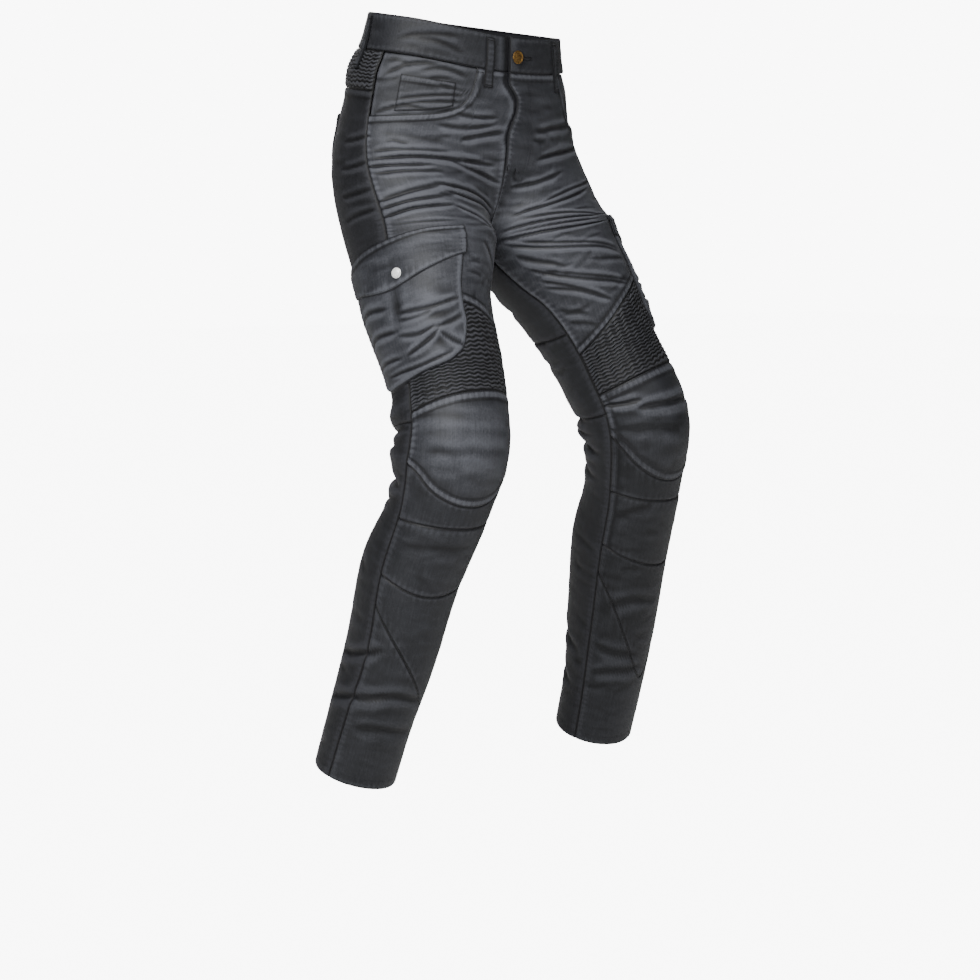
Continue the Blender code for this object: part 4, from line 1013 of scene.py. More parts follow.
# %% Metal materials
def metal(name, bright, dull, rough, bare=1.0):
    """Metal with stains and fine scratches; bare is how much of it shows as bare metal."""
    material = bpy.data.materials.new(name)
    material.use_nodes = True
    tree = material.node_tree
    tree.nodes.clear()
    place = node(tree, "ShaderNodeTexCoord").outputs["Object"]
    stain = node(tree, "ShaderNodeTexNoise", {"Vector": place, "Scale": 380.0, "Detail": 4.0}).outputs["Fac"]
    share = node(tree, "ShaderNodeMapRange", {"Value": stain, "From Min": 0.42, "From Max": 0.70}).outputs[0]
    scratch = node(tree, "ShaderNodeTexNoise", {"Vector": place, "Scale": 2400.0,
                                                "Detail": 2.0}).outputs["Fac"]
    colour = mix_colour(tree, share, bright + (1,), dull + (1,))
    roughness = maths(tree, "MULTIPLY_ADD", share, 0.25, rough)
    marks = node(tree, "ShaderNodeBump", {"Height": scratch, "Strength": 0.15, "Distance": 0.0002})
    shader = node(tree, "ShaderNodeBsdfPrincipled", {
        "Base Color": colour, "Roughness": roughness, "Metallic": bare, "Normal": marks.outputs[0]})
    node(tree, "ShaderNodeOutputMaterial", {"Surface": shader.outputs[0]})
    return material


BRASS = metal("aged_brass", (0.27, 0.155, 0.045), (0.07, 0.04, 0.02), 0.44)
# nearly white: a whitish plating and a painted highlight
SNAP_PLATING_AND_GLINT = metal("snap_plating_and_glint", (1.0, 1.0, 0.99), (0.94, 0.94, 0.93), 0.42, bare=0.2)

# %% [markdown]
# ## Waistband
#
# The band is a doubled strip about 46 mm high. Its left end laps over the right one at the
# centre front, held by the button. The lap has to stand a band's thickness above the cloth,
# and beside its edge the cloth below sinks into a gap, whose shadow is painted dark.

# %% Waistband
def lap_lift(side, u, s, height):
    """How far the left front is lifted where it laps over the right front."""
    if side == RIGHT:
        return np.zeros_like(s)
    beside = 1.0 - ramp(-0.86, -0.42, u)
    return height * beside * (1.0 - ramp(0.165, 0.195, s))


def beside_lap(side, u, s):
    """One on the right side in the dark gap next to the edge of the lap, else zero."""
    if side == LEFT:
        return np.zeros_like(s)
    edge = -1.0 - lap_over(s)
    reach = 0.0065 - 0.0040 * ramp(0.076, 0.096, s)
    gap = np.exp(-((u - edge) * span(s) / reach) ** 4)
    return gap * (1.0 - ramp(FLY_END - 0.010, FLY_END, s))


BAND_LAP = BAND + 0.0005    # how far the lapped end of the band is lifted
FRONT_LAP = 0.0020          # how far the left front is lifted below it
LAP_SINK = 0.0020           # how deep the gap beside the lap is
# painted shadow: how dark the gap beside the lap is painted
LAP_SHADOW = 2.0              # how dark that gap is


BAND_FRONT = {RIGHT: -1.12, LEFT: -1.0}     # u of the front ends; the right one runs on below the left
BAND_BACK = 0.9992

for side in (RIGHT, LEFT):
    start = BAND_FRONT[side]
    cut = Cut(side, straight(start, BAND_BACK), level(0.0), level(BAND_HEIGHT), pitch=(0.0024, 0.0040))
    lift = lap_lift(side, cut.u, cut.s, BAND_LAP)
    lift += edge_height(cut, drawn=("top", "foot")) - LAP_SINK * beside_lap(side, cut.u, cut.s)
    # painted shadow in the gap beside the lap
    cut.painted_shade += LAP_SHADOW * beside_lap(side, cut.u, cut.s)
    band = sew("band_cloth_" + SIDE_NAME[side], cut, lift, BAND, "waistband_" + SIDE_NAME[side],
               soft=0.00025)
    band.data.materials.append(SHADED_DENIM)

# %% [markdown]
# ## Fronts
#
# The front of each side runs from the band to the ribs above the knee. Its upper corner is
# cut away in a scoop, the mouth of the hip pocket. Near the scoop the columns of the grid
# crowd together, because the edge drops steeply there, and they even out further down.

# %% Front panels
def crowded(side, parts):
    """Parts of the way across, crowded where the scoop is steep."""
    columns = SCOOP_COLUMNS[side]
    return np.interp(parts, np.linspace(0.0, 1.0, len(columns)), columns)


def scoop(side, parts):
    """The waist seam, then the curve of the hip pocket."""
    beyond = np.maximum(parts - SCOOP_START[side], 0.0) / (1.0 - SCOOP_START[side])
    steep = 1.0 - np.exp(-(beyond / 0.045) ** 0.6)
    return BAND_HEIGHT + 0.068 * steep + 0.011 * beyond


def settled(side, down, parts):
    """Columns that start crowded at the scoop and even out further down."""
    share = ramp(0.0, 0.35, down)
    return (1.0 - share) * crowded(side, parts) + share * parts


FRONT_GRID = {RIGHT: (0.0016, 0.0024), LEFT: (0.0015, 0.0017)}  # fine enough for the sharpest folds

for side in (RIGHT, LEFT):
    cut = Cut(side, front_lines, lambda parts: scoop(side, crowded(side, parts)), seam(RIB_TOP),
              pitch=FRONT_GRID[side], warp=lambda down, parts: settled(side, down, parts), evening=4)
    lift = lap_lift(side, cut.u, cut.s, FRONT_LAP)
    lift += edge_height(cut, felled=("top", "foot"), drawn=("first", "last"),
                        piped=("first",) if side == LEFT else ())
    lift -= LAP_SINK * beside_lap(side, cut.u, cut.s)
    # painted shadow in the gap beside the lap
    cut.painted_shade += LAP_SHADOW * beside_lap(side, cut.u, cut.s)
    front = sew("front_cloth_" + SIDE_NAME[side], cut, lift, DENIM, "front_panel_" + SIDE_NAME[side])
    front.data.materials.append(FRONT_DENIM)

# %% [markdown]
# ## Hip pocket facing and coin pocket
#
# Inside the scoop shows the facing, a layer that lies a little deeper. The wearer's right
# one carries a coin pocket, whose lower edge disappears behind the scoop.

# %% Pocket facings
FACING_TUCK = 0.010         # how far it reaches below the edge of the scoop
FACING_SHORTEST = 0.075     # s of its foot where the scoop is highest
FACING_DEPTH = 0.0027       # how deep it lies below the front


def facing_start(side):
    """Part of the way across the front where the facing begins, a little behind the scoop."""
    return SCOOP_START[side] - 0.026


def facing_lines(side, s):
    """From behind the scoop to the outseam."""
    first, last = front_lines(side, BAND_HEIGHT)
    return np.full(s.shape, first + facing_start(side) * (last - first)), front_lines(side, s)[1]


for side in (RIGHT, LEFT):
    start = facing_start(side)
    cut = Cut(side, facing_lines, level(BAND_HEIGHT),
              lambda parts: FACING_TUCK + np.maximum(
                  scoop(side, start + (1.0 - start) * parts), FACING_SHORTEST))
    lift = np.full(cut.s.shape, -FACING_DEPTH) + edge_height(cut)
    facing = sew("facing_cloth_" + SIDE_NAME[side], cut, lift, PATCH, "pocket_facing_" + SIDE_NAME[side])
    facing.data.materials.append(FACING_DENIM)

# %% [markdown]
# The coin pocket is a small patch on the facing. Its turned edges are thin, so they stand
# only a little above it.

# %% Coin pocket
COIN_FIRST, COIN_LAST, COIN_TOP = -0.68, -0.32, 0.0715


def coin_foot(parts):
    """Foot of the coin pocket, hidden just above the scoop edge."""
    first, last = front_lines(RIGHT, 0.100)
    return scoop(RIGHT, (COIN_FIRST + (COIN_LAST - COIN_FIRST) * parts - first) / (last - first)) - 0.0045


cut = Cut(RIGHT, straight(COIN_FIRST, COIN_LAST), level(COIN_TOP), coin_foot, pitch=(0.0018, 0.0026))
lift = np.full(cut.s.shape, -LAY) + 0.6 * edge_height(cut, felled=("top",), drawn=("first", "last"))
coin = sew("coin_pocket_cloth", cut, lift, PATCH, "coin_pocket",
           soft=0.0002)
coin.data.materials.append(FACING_DENIM)

# %% [markdown]
# ## Ribbed stretch cloth
#
# Above the knees and over the lower back the cloth is pleated so that it can stretch when
# the rider sits. The pleats are narrow, rounded and run in a small zigzag. They are cut
# off by the seams and do not follow them, so their height depends on the map alone. A
# bump map would look flat at the outline of the leg, so the pleats are real geometry.

# %% Height of the pleats
RIB_PITCH = 0.0047
RIB_HEIGHT, RIB_SINK = 0.0021, 0.0006
RIB_WAVE, RIB_SWING = 0.0115, 0.0010    # length and reach of the zigzag
RIB_GRID = (0.00085, 0.0020)            # fine enough for the zigzag
RIB_FULLNESS = 1.3                      # cloth that the ribs take up


def pleats(cut):
    """Rounded zigzag ribs, flat under the bellows pocket and at the seams."""
    across = cut.u * span(cut.s)
    swing = RIB_SWING * (2 / pi) * np.arcsin(np.sin(2 * pi * across / RIB_WAVE))
    wander = 0.0017 * noise(across / 0.015 + 11, cut.s / 0.012, 51 + cut.side)
    phase = (cut.s + swing + wander) / RIB_PITCH
    crest = np.abs(np.cos(pi * phase)) ** 1.3
    uneven = 0.85 + 0.25 * noise(across / 0.016, cut.s / 0.009, 61 + cut.side)
    edges = np.ones_like(cut.s)
    for away in cut.from_edge.values():
        edges *= ramp(0.0002, 0.0035, away)
    from_pocket = cut.u - CARGO_SHIFT[cut.side]
    covered = ramp(-0.475, -0.455, from_pocket) * (1.0 - ramp(0.19, 0.22, from_pocket))
    above_foot = 1.0 - ramp(-0.010, -0.002, cut.s - line(CARGO_FOOT, from_pocket))
    covered *= ramp(0.27, 0.29, cut.s) * above_foot
    return (RIB_HEIGHT * crest * uneven - RIB_SINK) * edges * (1.0 - 0.9 * covered)


# %% [markdown]
# ## Knees and shins
#
# Below the ribs follow the padded knee panel, with a stitched band at its top and foot,
# and four shin pieces. The lowest seam runs down to a point. The pieces share one table:
# each row names the seams above and below it and how its edges are sewn.

# %% Front pieces from the ribs to the hem
KNEE_GRID = (0.0016, 0.0026)    # finer than the rest, for the sharp folds of the left knee
INSEAM_BAND = ("knee_cloth_", "shin_upper_cloth_", "shin_middle_cloth_")    # felled along the left inseam


def sew_below(side, lines, row, felled, pitch=(ROW_PITCH, COLUMN_PITCH)):
    """Ribbed or plain piece of one row of a table, sewn on below another; returns its name."""
    name, cad_node, top, foot, material = row
    ribbed = name.startswith("rib_")
    cut = Cut(side, lines, top, foot, pitch=RIB_GRID if ribbed else pitch)
    lift = edge_height(cut, felled=felled, drawn=() if ribbed else ("top", "foot", "first", "last"))
    if ribbed:
        lift += pleats(cut)
    piece = sew(name + SIDE_NAME[side], cut, lift, DENIM, cad_node + SIDE_NAME[side],
                fullness=RIB_FULLNESS if ribbed else 1.0)
    piece.data.materials.append(material)
    return name + SIDE_NAME[side]


for side in (RIGHT, LEFT):
    # name, CAD node, top seam, foot seam, material, felled edges
    rows = (
        ("rib_cloth_knee_", "knee_ribs_", seam(RIB_TOP), seam(KNEE_TOP), RIB_CLOTH, ()),
        ("knee_cloth_", "knee_panel_", seam(KNEE_TOP), seam(KNEE_FOOT), FRONT_DENIM, ("top", "foot")),
        ("shin_upper_cloth_", "shin_upper_", seam(KNEE_FOOT), seam(SHIN_ONE), SHADED_DENIM, ()),
        ("shin_middle_cloth_", "shin_middle_", seam(SHIN_ONE), seam(SHIN_TWO), SHADED_DENIM, ()),
        ("shin_point_cloth_", "shin_point_", seam(SHIN_TWO), seam(SHIN_POINT[side]), SHADED_DENIM, ()),
        ("shin_lower_cloth_", "shin_lower_", seam(SHIN_POINT[side]), level(HEM), SHADED_DENIM, ()),
    )
    above = "front_cloth_" + SIDE_NAME[side]
    for *row, felled in rows:
        if side == LEFT and row[0] in INSEAM_BAND:
            felled += ("first",)
        pitch = KNEE_GRID if row[0] == "knee_cloth_" else (ROW_PITCH, COLUMN_PITCH)
        above = sew_below(side, front_lines, row, felled, pitch)

# %% [markdown]
# ## Back
#
# The back has a ribbed yoke under the band, a seat piece, the back of the thigh and one
# long calf piece. The photograph hides most of it, so it is finished in the same way as
# the front and with the folds that bent knees and a stride leave there.

# %% Back pieces
for side in (RIGHT, LEFT):
    # name, CAD node, top seam, foot seam, material, felled edges
    rows = (
        ("rib_cloth_yoke_", "back_yoke_", level(BAND_HEIGHT), seam(YOKE_FOOT), RIB_CLOTH, ()),
        ("seat_cloth_", "seat_", seam(YOKE_FOOT), seam(BACK_THIGH_TOP), BACK_DENIM, ("top",)),
        ("thigh_cloth_", "back_thigh_", seam(BACK_THIGH_TOP), seam(BACK_KNEE), BACK_DENIM, ()),
        ("calf_cloth_", "calf_", seam(BACK_KNEE), level(HEM), BACK_DENIM, ()),
    )
    above = "band_cloth_" + SIDE_NAME[side]
    for *row, felled in rows:
        above = sew_below(side, back_lines, row, felled)

# %% [markdown]
# ## Patch pockets on the seat
#
# A patch pocket is a layer sewn on at its sides and foot, open at its hemmed top. It is
# cut a little narrower towards the foot, which ends in a blunt point.

# %% Back pockets
SEAT_POCKET_U, SEAT_POCKET_TOP, SEAT_POCKET_LENGTH = 0.57, 0.128, 0.144


def back_pocket_lines(side, s):
    """Sides of the pocket, a little closer at the foot."""
    half = 0.235 - 0.035 * np.clip((s - SEAT_POCKET_TOP) / SEAT_POCKET_LENGTH, 0.0, 1.0)
    return SEAT_POCKET_U - half, SEAT_POCKET_U + half


def back_pocket_top(parts):
    """Hemmed top of the pocket, sloping a little outwards."""
    return SEAT_POCKET_TOP - 0.002 + 0.004 * parts


def back_pocket_foot(parts):
    """Blunt point at the foot of the pocket."""
    return SEAT_POCKET_TOP + SEAT_POCKET_LENGTH - 0.016 * np.abs(2 * parts - 1)


for side in (RIGHT, LEFT):
    cut = Cut(side, back_pocket_lines, back_pocket_top, back_pocket_foot)
    lift = 2 * LAY + PATCH + edge_height(cut, felled=("top",), drawn=("first", "last", "foot"))
    pocket = sew("back_pocket_cloth_" + SIDE_NAME[side], cut, lift, PATCH, "back_pocket_" + SIDE_NAME[side])
    pocket.data.materials.append(BACK_DENIM)

# %% [markdown]
# ## Bellows pocket and flap
#
# The pocket on the outer thigh can fill out: it has a pleat down its middle and a fold of
# cloth round its edge. It hangs full of small zigzag puckers where the thigh bends. The
# flap is sewn on above it and held down by one snap.

# %% Bellows pocket
# name, side, u and s at the start, middle and end, depth, half_width
POCKET_CREASES = (
    ("under_flap", RIGHT, -0.12, 0.381, -0.28, 0.389, -0.47, 0.386, 0.0024, 0.0020),
    ("under_flap_low", RIGHT, -0.13, 0.390, -0.22, 0.394, -0.32, 0.394, 0.0014, 0.0017),
    ("corner", RIGHT, -0.27, 0.413, -0.37, 0.411, -0.47, 0.404, 0.0020, 0.0020),
    ("zigzag", RIGHT, -0.11, 0.405, -0.22, 0.413, -0.33, 0.409, 0.0020, 0.0020),
    ("inverted_v", RIGHT, -0.12, 0.432, -0.23, 0.425, -0.33, 0.413, 0.0022, 0.0020),
    ("inverted_v_low", RIGHT, -0.29, 0.413, -0.37, 0.431, -0.46, 0.444, 0.0022, 0.0020),
    ("rear_high", RIGHT, 0.18, 0.372, 0.04, 0.366, -0.12, 0.374, 0.0016, 0.0021),
    ("rear_middle", RIGHT, 0.18, 0.404, 0.04, 0.394, -0.14, 0.401, 0.0020, 0.0022),
    ("rear_low", RIGHT, 0.18, 0.430, 0.04, 0.426, -0.12, 0.432, 0.0016, 0.0022),
    ("foot", RIGHT, 0.06, 0.447, -0.18, 0.450, -0.38, 0.441, 0.0016, 0.0021),
)
PLEAT_U = -0.15
FLAP_WIDER = 1.02       # the flap against the pocket below it


def cargo_lift(u, s):
    """Height of the outer face of the bellows pocket above the leg."""
    over_ribs = 0.0028 + 0.0016 * ramp(0.335, 0.370, s)
    full = np.exp(-(((u + 0.15) / 0.22) ** 4 + ((s - 0.405) / 0.045) ** 2))
    pleat = np.exp(-((u - PLEAT_U) / 0.03) ** 2) * (1.0 - ramp(0.375, 0.40, s))
    pucker = np.sin((s + 0.10 * u) * 2 * pi / 0.034) * np.exp(-((u + 0.33) / 0.09) ** 2)
    return over_ribs + full * (0.0055 - 0.0030 * pleat + 0.0018 * pucker)


def pocket_sides(side, wider=1.0):
    """Straight sides of the bellows pocket, or of something wider on it."""
    return straight(CARGO_SHIFT[side] + wider * CARGO_FRONT_U, CARGO_SHIFT[side] + wider * CARGO_BACK_U)


def pocket_u(parts):
    """u of a part of the way across the bellows pocket."""
    return CARGO_FRONT_U + (CARGO_BACK_U - CARGO_FRONT_U) * parts


for side in (RIGHT, LEFT):
    cut = Cut(side, pocket_sides(side), lambda parts: line(FLAP_TOP, pocket_u(parts)) + 0.030,
              lambda parts: line(CARGO_FOOT, pocket_u(parts)), pitch=(0.0015, 0.0022))
    at_u = cut.u - CARGO_SHIFT[side]
    lift = cargo_lift(at_u, cut.s)
    for row in POCKET_CREASES:
        near, height = crease_shape(at_u, cut.s, row)
        lift[near] += height
    wall = np.ones_like(lift)
    for edge in ("first", "last", "foot"):
        wall *= ramp(0.0, 0.0042, cut.from_edge[edge])
    on_leg = PATCH + 0.0004
    lift = on_leg + (lift - on_leg) * wall + edge_height(cut, drawn=("first", "last", "foot"))
    pocket = sew("bellows_cloth_" + SIDE_NAME[side], cut, lift, PATCH, "cargo_pocket_" + SIDE_NAME[side])
    pocket.data.materials.append(FRONT_DENIM)


# %% [markdown]
# The flap starts on the leg at its seam and then rests on the full pocket, so its height
# goes over from one to the other on the way down. The snap pulls a small dimple into it.

# %% Flap of the bellows pocket
SNAP_PLACE = (-0.165, 0.342)    # u and s of the snap on the right leg


def flap_lift(u, s, down):
    """Height of the outer face of the flap: on the leg at its seam, over the pocket below."""
    over_pocket = cargo_lift(u, s) + LAY + 0.0016
    at_seam = 2 * LAY + PATCH
    return at_seam + (over_pocket - at_seam) * ramp(0.0, 0.45, down)


for side in (RIGHT, LEFT):
    cut = Cut(side, pocket_sides(side, FLAP_WIDER),
              lambda parts: line(FLAP_TOP, FLAP_WIDER * pocket_u(parts)),
              lambda parts: line(FLAP_FOOT, FLAP_WIDER * pocket_u(parts)), pitch=(0.0018, 0.0024))
    at_u = cut.u - CARGO_SHIFT[side]
    lift = flap_lift(at_u, cut.s, cut.down)
    lift += edge_height(cut, felled=("top",), drawn=("foot", "first", "last"))
    dimple = ((at_u - SNAP_PLACE[0]) * span(cut.s) / 0.010) ** 2 + ((cut.s - SNAP_PLACE[1]) / 0.010) ** 2
    lift -= 0.0008 * np.exp(-dimple)
    flap = sew("flap_cloth_" + SIDE_NAME[side], cut, lift, PATCH, "cargo_flap_" + SIDE_NAME[side],
               soft=0.0004)
    flap.data.materials.append(FRONT_DENIM)

# %% [markdown]
# ## Belt loops
#
# Five narrow strips bridge the band. Both ends are sewn down with a bar tack, a dense
# block of thread, and the middle stands a little off so that a belt can pass.

# %% Belt loops
# name, CAD node, side, u of the middle, height of the foot above the cloth
LOOPS = (
    ("loop_cloth_front_right", "belt_loop_front_right", RIGHT, -0.87, 0.0004),
    ("loop_cloth_front_left", "belt_loop_front_left", LEFT, -0.59, 0.0004),
    ("loop_cloth_side_right", "belt_loop_side_right", RIGHT, 0.10, 0.0022),
    ("loop_cloth_side_left", "belt_loop_side_left", LEFT, 0.10, 0.0022),
    ("loop_cloth_back", "belt_loop_back", LEFT, 1.00, 0.0019),
)
LOOP_TOP, LOOP_LENGTH, LOOP_HALF, LOOP_THICK = 0.005, 0.067, 0.028, 0.0016

for name, cad_node, side, middle, foot in LOOPS:
    cut = Cut(side, straight(middle - LOOP_HALF, middle + LOOP_HALF),
              level(LOOP_TOP), level(LOOP_TOP + LOOP_LENGTH), pitch=(0.0014, 0.0014))
    stand = 0.0018 * np.sin(pi * np.clip(cut.down / 0.66, 0.0, 1.0))
    under = 0.0004 + (foot - 0.0004) * ramp(0.36, 0.60, cut.down) + stand
    lift = under + LOOP_THICK + 0.5 * edge_height(cut, drawn=("first", "last"))
    lift += lap_lift(side, cut.u, cut.s, BAND_LAP)
    loop = sew(name, cut, lift, LOOP_THICK - 0.0002, cad_node,
               soft=0.0001)
    loop.data.materials.append(SHADED_DENIM)

# %% [markdown]
# ## Button and snaps
#
# Both are turned shapes: a profile swept round the direction that points out of the cloth.
# The button has a rounded rim and a dished face, and the snap a domed cap on a thin flange.

# %% Turned metal pieces
def turned(name, side, at, height, profile, material, cad_node, steps=48):
    """Round piece turned about the direction out of the cloth."""
    place, out, _ = skin(side, np.array(at[0]), np.array(at[1]))
    ahead, _, _ = skin(side, np.array(at[0] + 0.02), np.array(at[1]))
    across = unit(ahead - place - np.dot(ahead - place, out) * out)
    up = np.cross(out, across)
    turns = np.arange(steps) * 2 * pi / steps
    ring = np.cos(turns)[:, None] * across + np.sin(turns)[:, None] * up
    points = np.concatenate([place + (height + h) * out + r * ring for r, h in profile])
    faces = []
    for k in range(len(profile) - 1):
        for j in range(steps):
            a, b = k * steps + j, k * steps + (j + 1) % steps
            faces.append((a, b, b + steps, a + steps))
    faces.append(tuple(reversed(range(steps))))
    faces.append(tuple(range(len(points) - steps, len(points))))
    mesh = bpy.data.meshes.new(name)
    mesh.from_pydata(points.tolist(), [], faces)
    mesh.polygons.foreach_set("use_smooth", np.ones(len(faces), bool))
    mesh.set_sharp_from_angle(angle=np.radians(35))
    mesh.materials.append(material)
    piece = bpy.data.objects.new(name, mesh)
    bpy.context.scene.collection.objects.link(piece)
    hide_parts(cad_node)
    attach(piece, "root")
    print(f"{name}: {2000 * max(r for r, _ in profile):.1f} mm across")


# radius, height: from the stem over the rim to the middle of the face
BUTTON_PROFILE = ((0.0034, 0.0), (0.0034, 0.0016), (0.0070, 0.0018), (0.0080, 0.0021), (0.0085, 0.0027),
                  (0.0084, 0.0033), (0.0079, 0.0038), (0.0072, 0.0040), (0.0066, 0.0038), (0.0062, 0.0034),
                  (0.0058, 0.0034), (0.0045, 0.0037), (0.0028, 0.0039), (0.0012, 0.0040))
turned("button_brass", LEFT, (-0.955, 0.026), BAND + 0.0009, BUTTON_PROFILE, BRASS, "waist_button")

# radius, height: flange, dome and top of the cap
SNAP_PROFILE = ((0.0062, 0.0), (0.0066, 0.0003), (0.0066, 0.0007), (0.0062, 0.0009), (0.0058, 0.0010),
                (0.0056, 0.0014), (0.0050, 0.0020), (0.0040, 0.0024), (0.0026, 0.0027), (0.0012, 0.0028))
for side in (RIGHT, LEFT):
    height = float(flap_lift(np.array(SNAP_PLACE[0]), np.array(SNAP_PLACE[1]), np.array(0.8))) - 0.0004
    at = (SNAP_PLACE[0] + CARGO_SHIFT[side], SNAP_PLACE[1])
    turned("snap_metal_" + SIDE_NAME[side], side, at, height, SNAP_PROFILE, SNAP_PLATING_AND_GLINT,
           "cargo_snap_" + SIDE_NAME[side])

# %% [markdown]
# ## Stitching
#
# The seams of riding trousers are sewn with strong thread in long stitches, mostly in two
# rows along a felled edge. Each stitch is a small rounded bar of thread that sinks into
# the cloth at both ends. All of them are collected first and become one mesh, because
# thousands of small objects would be slow to handle.

# %% One stitch
STITCH_PITCH, STITCH_LENGTH = 0.0034, 0.0025
STITCH_HALF, STITCH_HEIGHT = 0.00034, 0.00034
STITCHES = []


def lay_stitches(start, end, normal, half=STITCH_HALF, height=STITCH_HEIGHT):
    """Bars of thread from start points to end points; 9 points each."""
    along = unit(end - start)
    across = unit(np.cross(normal, along))
    # share of the way, share of the width, share of the height
    stations = ((0.0, 0.45, 0.1), (0.5, 1.0, 1.0), (1.0, 0.45, 0.1))
    points = []
    for share, wide, high in stations:
        middle = start + share * (end - start)
        points += [middle - wide * half * across - 0.0001 * normal, middle + high * height * normal,
                   middle + wide * half * across - 0.0001 * normal]
    STITCHES.append(np.stack(points, 1))


def stitch_path(points, normals, pitch=STITCH_PITCH, length=STITCH_LENGTH):
    """Row of stitches along a path on the cloth."""
    walked = np.concatenate([[0.0], np.cumsum(np.linalg.norm(np.diff(points, axis=0), axis=1))])
    count = int(walked[-1] / pitch)
    if count < 1:
        return
    starts = (np.arange(count) + 0.5) * walked[-1] / count - length / 2

    def read(values, at):
        return np.stack([np.interp(at, walked, values[:, k]) for k in range(3)], -1)

    outwards = unit(read(normals, starts + length / 2))
    lay_stitches(read(points, starts), read(points, starts + length), outwards)


# %% [markdown]
# A row of stitches keeps the same distance from its edge. On the grid of a piece that is
# found column by column: the distance from the edge grows from row to row, and the row
# where it reaches the wanted distance is read off and smoothed between grid points.

# %% Rows beside an edge
def inset_path(name, edge, inset, start=0.0, stop=1.0):
    """Points and normals on a piece at a distance from one of its edges."""
    cut, grid, normal = PIECES[name]
    away = cut.from_edge[edge]
    if edge in ("first", "last"):
        away, grid, normal = away.T, grid.transpose(1, 0, 2), normal.transpose(1, 0, 2)
    order = slice(None, None, -1 if edge in ("foot", "last") else 1)
    columns = np.arange(away.shape[1])
    columns = columns[(columns >= start * columns[-1]) & (columns <= stop * columns[-1])]
    points, normals = [], []
    for j in columns:
        rise, line_points, line_normals = away[order, j], grid[order, j], normal[order, j]
        if rise[-1] < inset:
            continue
        points.append([np.interp(inset, rise, line_points[:, k]) for k in range(3)])
        normals.append([np.interp(inset, rise, line_normals[:, k]) for k in range(3)])
    return np.array(points), np.array(normals)


NEAR_ROW, FAR_ROW = 0.0018, 0.0072

# piece, edge, distances from the edge, part of the way along it
STITCH_ROWS = [
    ("front_cloth_", "foot", (NEAR_ROW, FAR_ROW), 1.0),
    ("front_cloth_", "last", (NEAR_ROW,), 0.35),
    ("band_cloth_", "top", (0.0026,), 1.0),
    ("band_cloth_", "foot", (0.0026,), 1.0),
    ("band_cloth_", "first", (0.0030,), 1.0),
    ("facing_cloth_", "last", (NEAR_ROW,), 1.0),
    ("knee_cloth_", "top", (NEAR_ROW, FAR_ROW), 1.0),
    ("knee_cloth_", "foot", (NEAR_ROW, FAR_ROW), 1.0),
    ("shin_middle_cloth_", "top", (NEAR_ROW,), 1.0),
    ("shin_point_cloth_", "top", (NEAR_ROW,), 1.0),
    ("shin_lower_cloth_", "top", (NEAR_ROW,), 1.0),
    ("shin_lower_cloth_", "foot", (0.0120,), 1.0),
    ("seat_cloth_", "top", (NEAR_ROW, FAR_ROW), 1.0),
    ("calf_cloth_", "top", (NEAR_ROW,), 1.0),
    ("calf_cloth_", "foot", (0.0120,), 1.0),
    ("thigh_cloth_", "top", (NEAR_ROW,), 1.0),
    ("back_pocket_cloth_", "top", (NEAR_ROW, 0.0125), 1.0),
    ("back_pocket_cloth_", "first", (NEAR_ROW, 0.0060), 1.0),
    ("back_pocket_cloth_", "last", (NEAR_ROW, 0.0060), 1.0),
    ("back_pocket_cloth_", "foot", (NEAR_ROW, 0.0060), 1.0),
    ("bellows_cloth_", "first", (0.0024,), 1.0),
    ("bellows_cloth_", "last", (0.0024,), 1.0),
    ("bellows_cloth_", "foot", (0.0024,), 1.0),
    ("flap_cloth_", "top", (NEAR_ROW, FAR_ROW), 1.0),
    ("flap_cloth_", "foot", (0.0022,), 1.0),
    ("flap_cloth_", "first", (0.0022, 0.0072), 1.0),
    ("flap_cloth_", "last", (0.0022,), 1.0),
]
for name, edge, insets, stop in STITCH_ROWS:
    for side_name in SIDE_NAME.values():
        for inset in insets:
            stitch_path(*inset_path(name + side_name, edge, inset, stop=stop))
for inset in (NEAR_ROW, FAR_ROW):
    stitch_path(*inset_path("front_cloth_right", "top", inset, 0.30))
    stitch_path(*inset_path("front_cloth_left", "top", inset, 0.40))
for name in INSEAM_BAND:
    for inset in (NEAR_ROW, FAR_ROW):
        stitch_path(*inset_path(name + "left", "first", inset))
for inset in (NEAR_ROW, 0.0060):
    stitch_path(*inset_path("front_cloth_left", "first", inset, 0.0, 0.52))
    stitch_path(*inset_path("seat_cloth_left", "last", inset, 0.0, 0.60))
for edge in ("first", "last", "foot"):
    stitch_path(*inset_path("coin_pocket_cloth", edge, NEAR_ROW))
for inset in (NEAR_ROW, 0.0060):
    stitch_path(*inset_path("coin_pocket_cloth", "top", inset))
for loop in LOOPS:
    for edge in ("first", "last"):
        stitch_path(*inset_path(loop[0], edge, 0.0016))

# %% [markdown]
# The fly is stitched down in a curve like the letter J, from the band to the end of the
# opening. It is a free line on the left front, so it is given by places on the map.

# %% Fly stitching
FLY_CURVE = ((0.052, -0.848), (0.090, -0.850), (0.130, -0.850), (0.160, -0.846), (0.174, -0.848),
             (0.184, -0.866), (0.188, -0.900), (0.186, -0.945), (0.180, -0.990))


def path_on_cloth(side, u, s, lift):
    """Points and normals on the folded cloth, at a height above it."""
    place, out, _ = skin(side, u, s)
    return place + out * np.asarray(lift)[..., None], out


for shift in (0.0, 0.016):
    steps = np.linspace(0.0, 1.0, 90)
    row = np.linspace(0.0, 1.0, len(FLY_CURVE))
    s = curve(row, [p[0] for p in FLY_CURVE], steps) - 0.25 * shift * ramp(0.5, 1.0, steps)
    u = curve(row, [p[1] for p in FLY_CURVE], steps) - shift * (1.0 - ramp(0.5, 1.0, steps))
    stitch_path(*path_on_cloth(LEFT, u, s, lap_lift(LEFT, u, s, FRONT_LAP)))


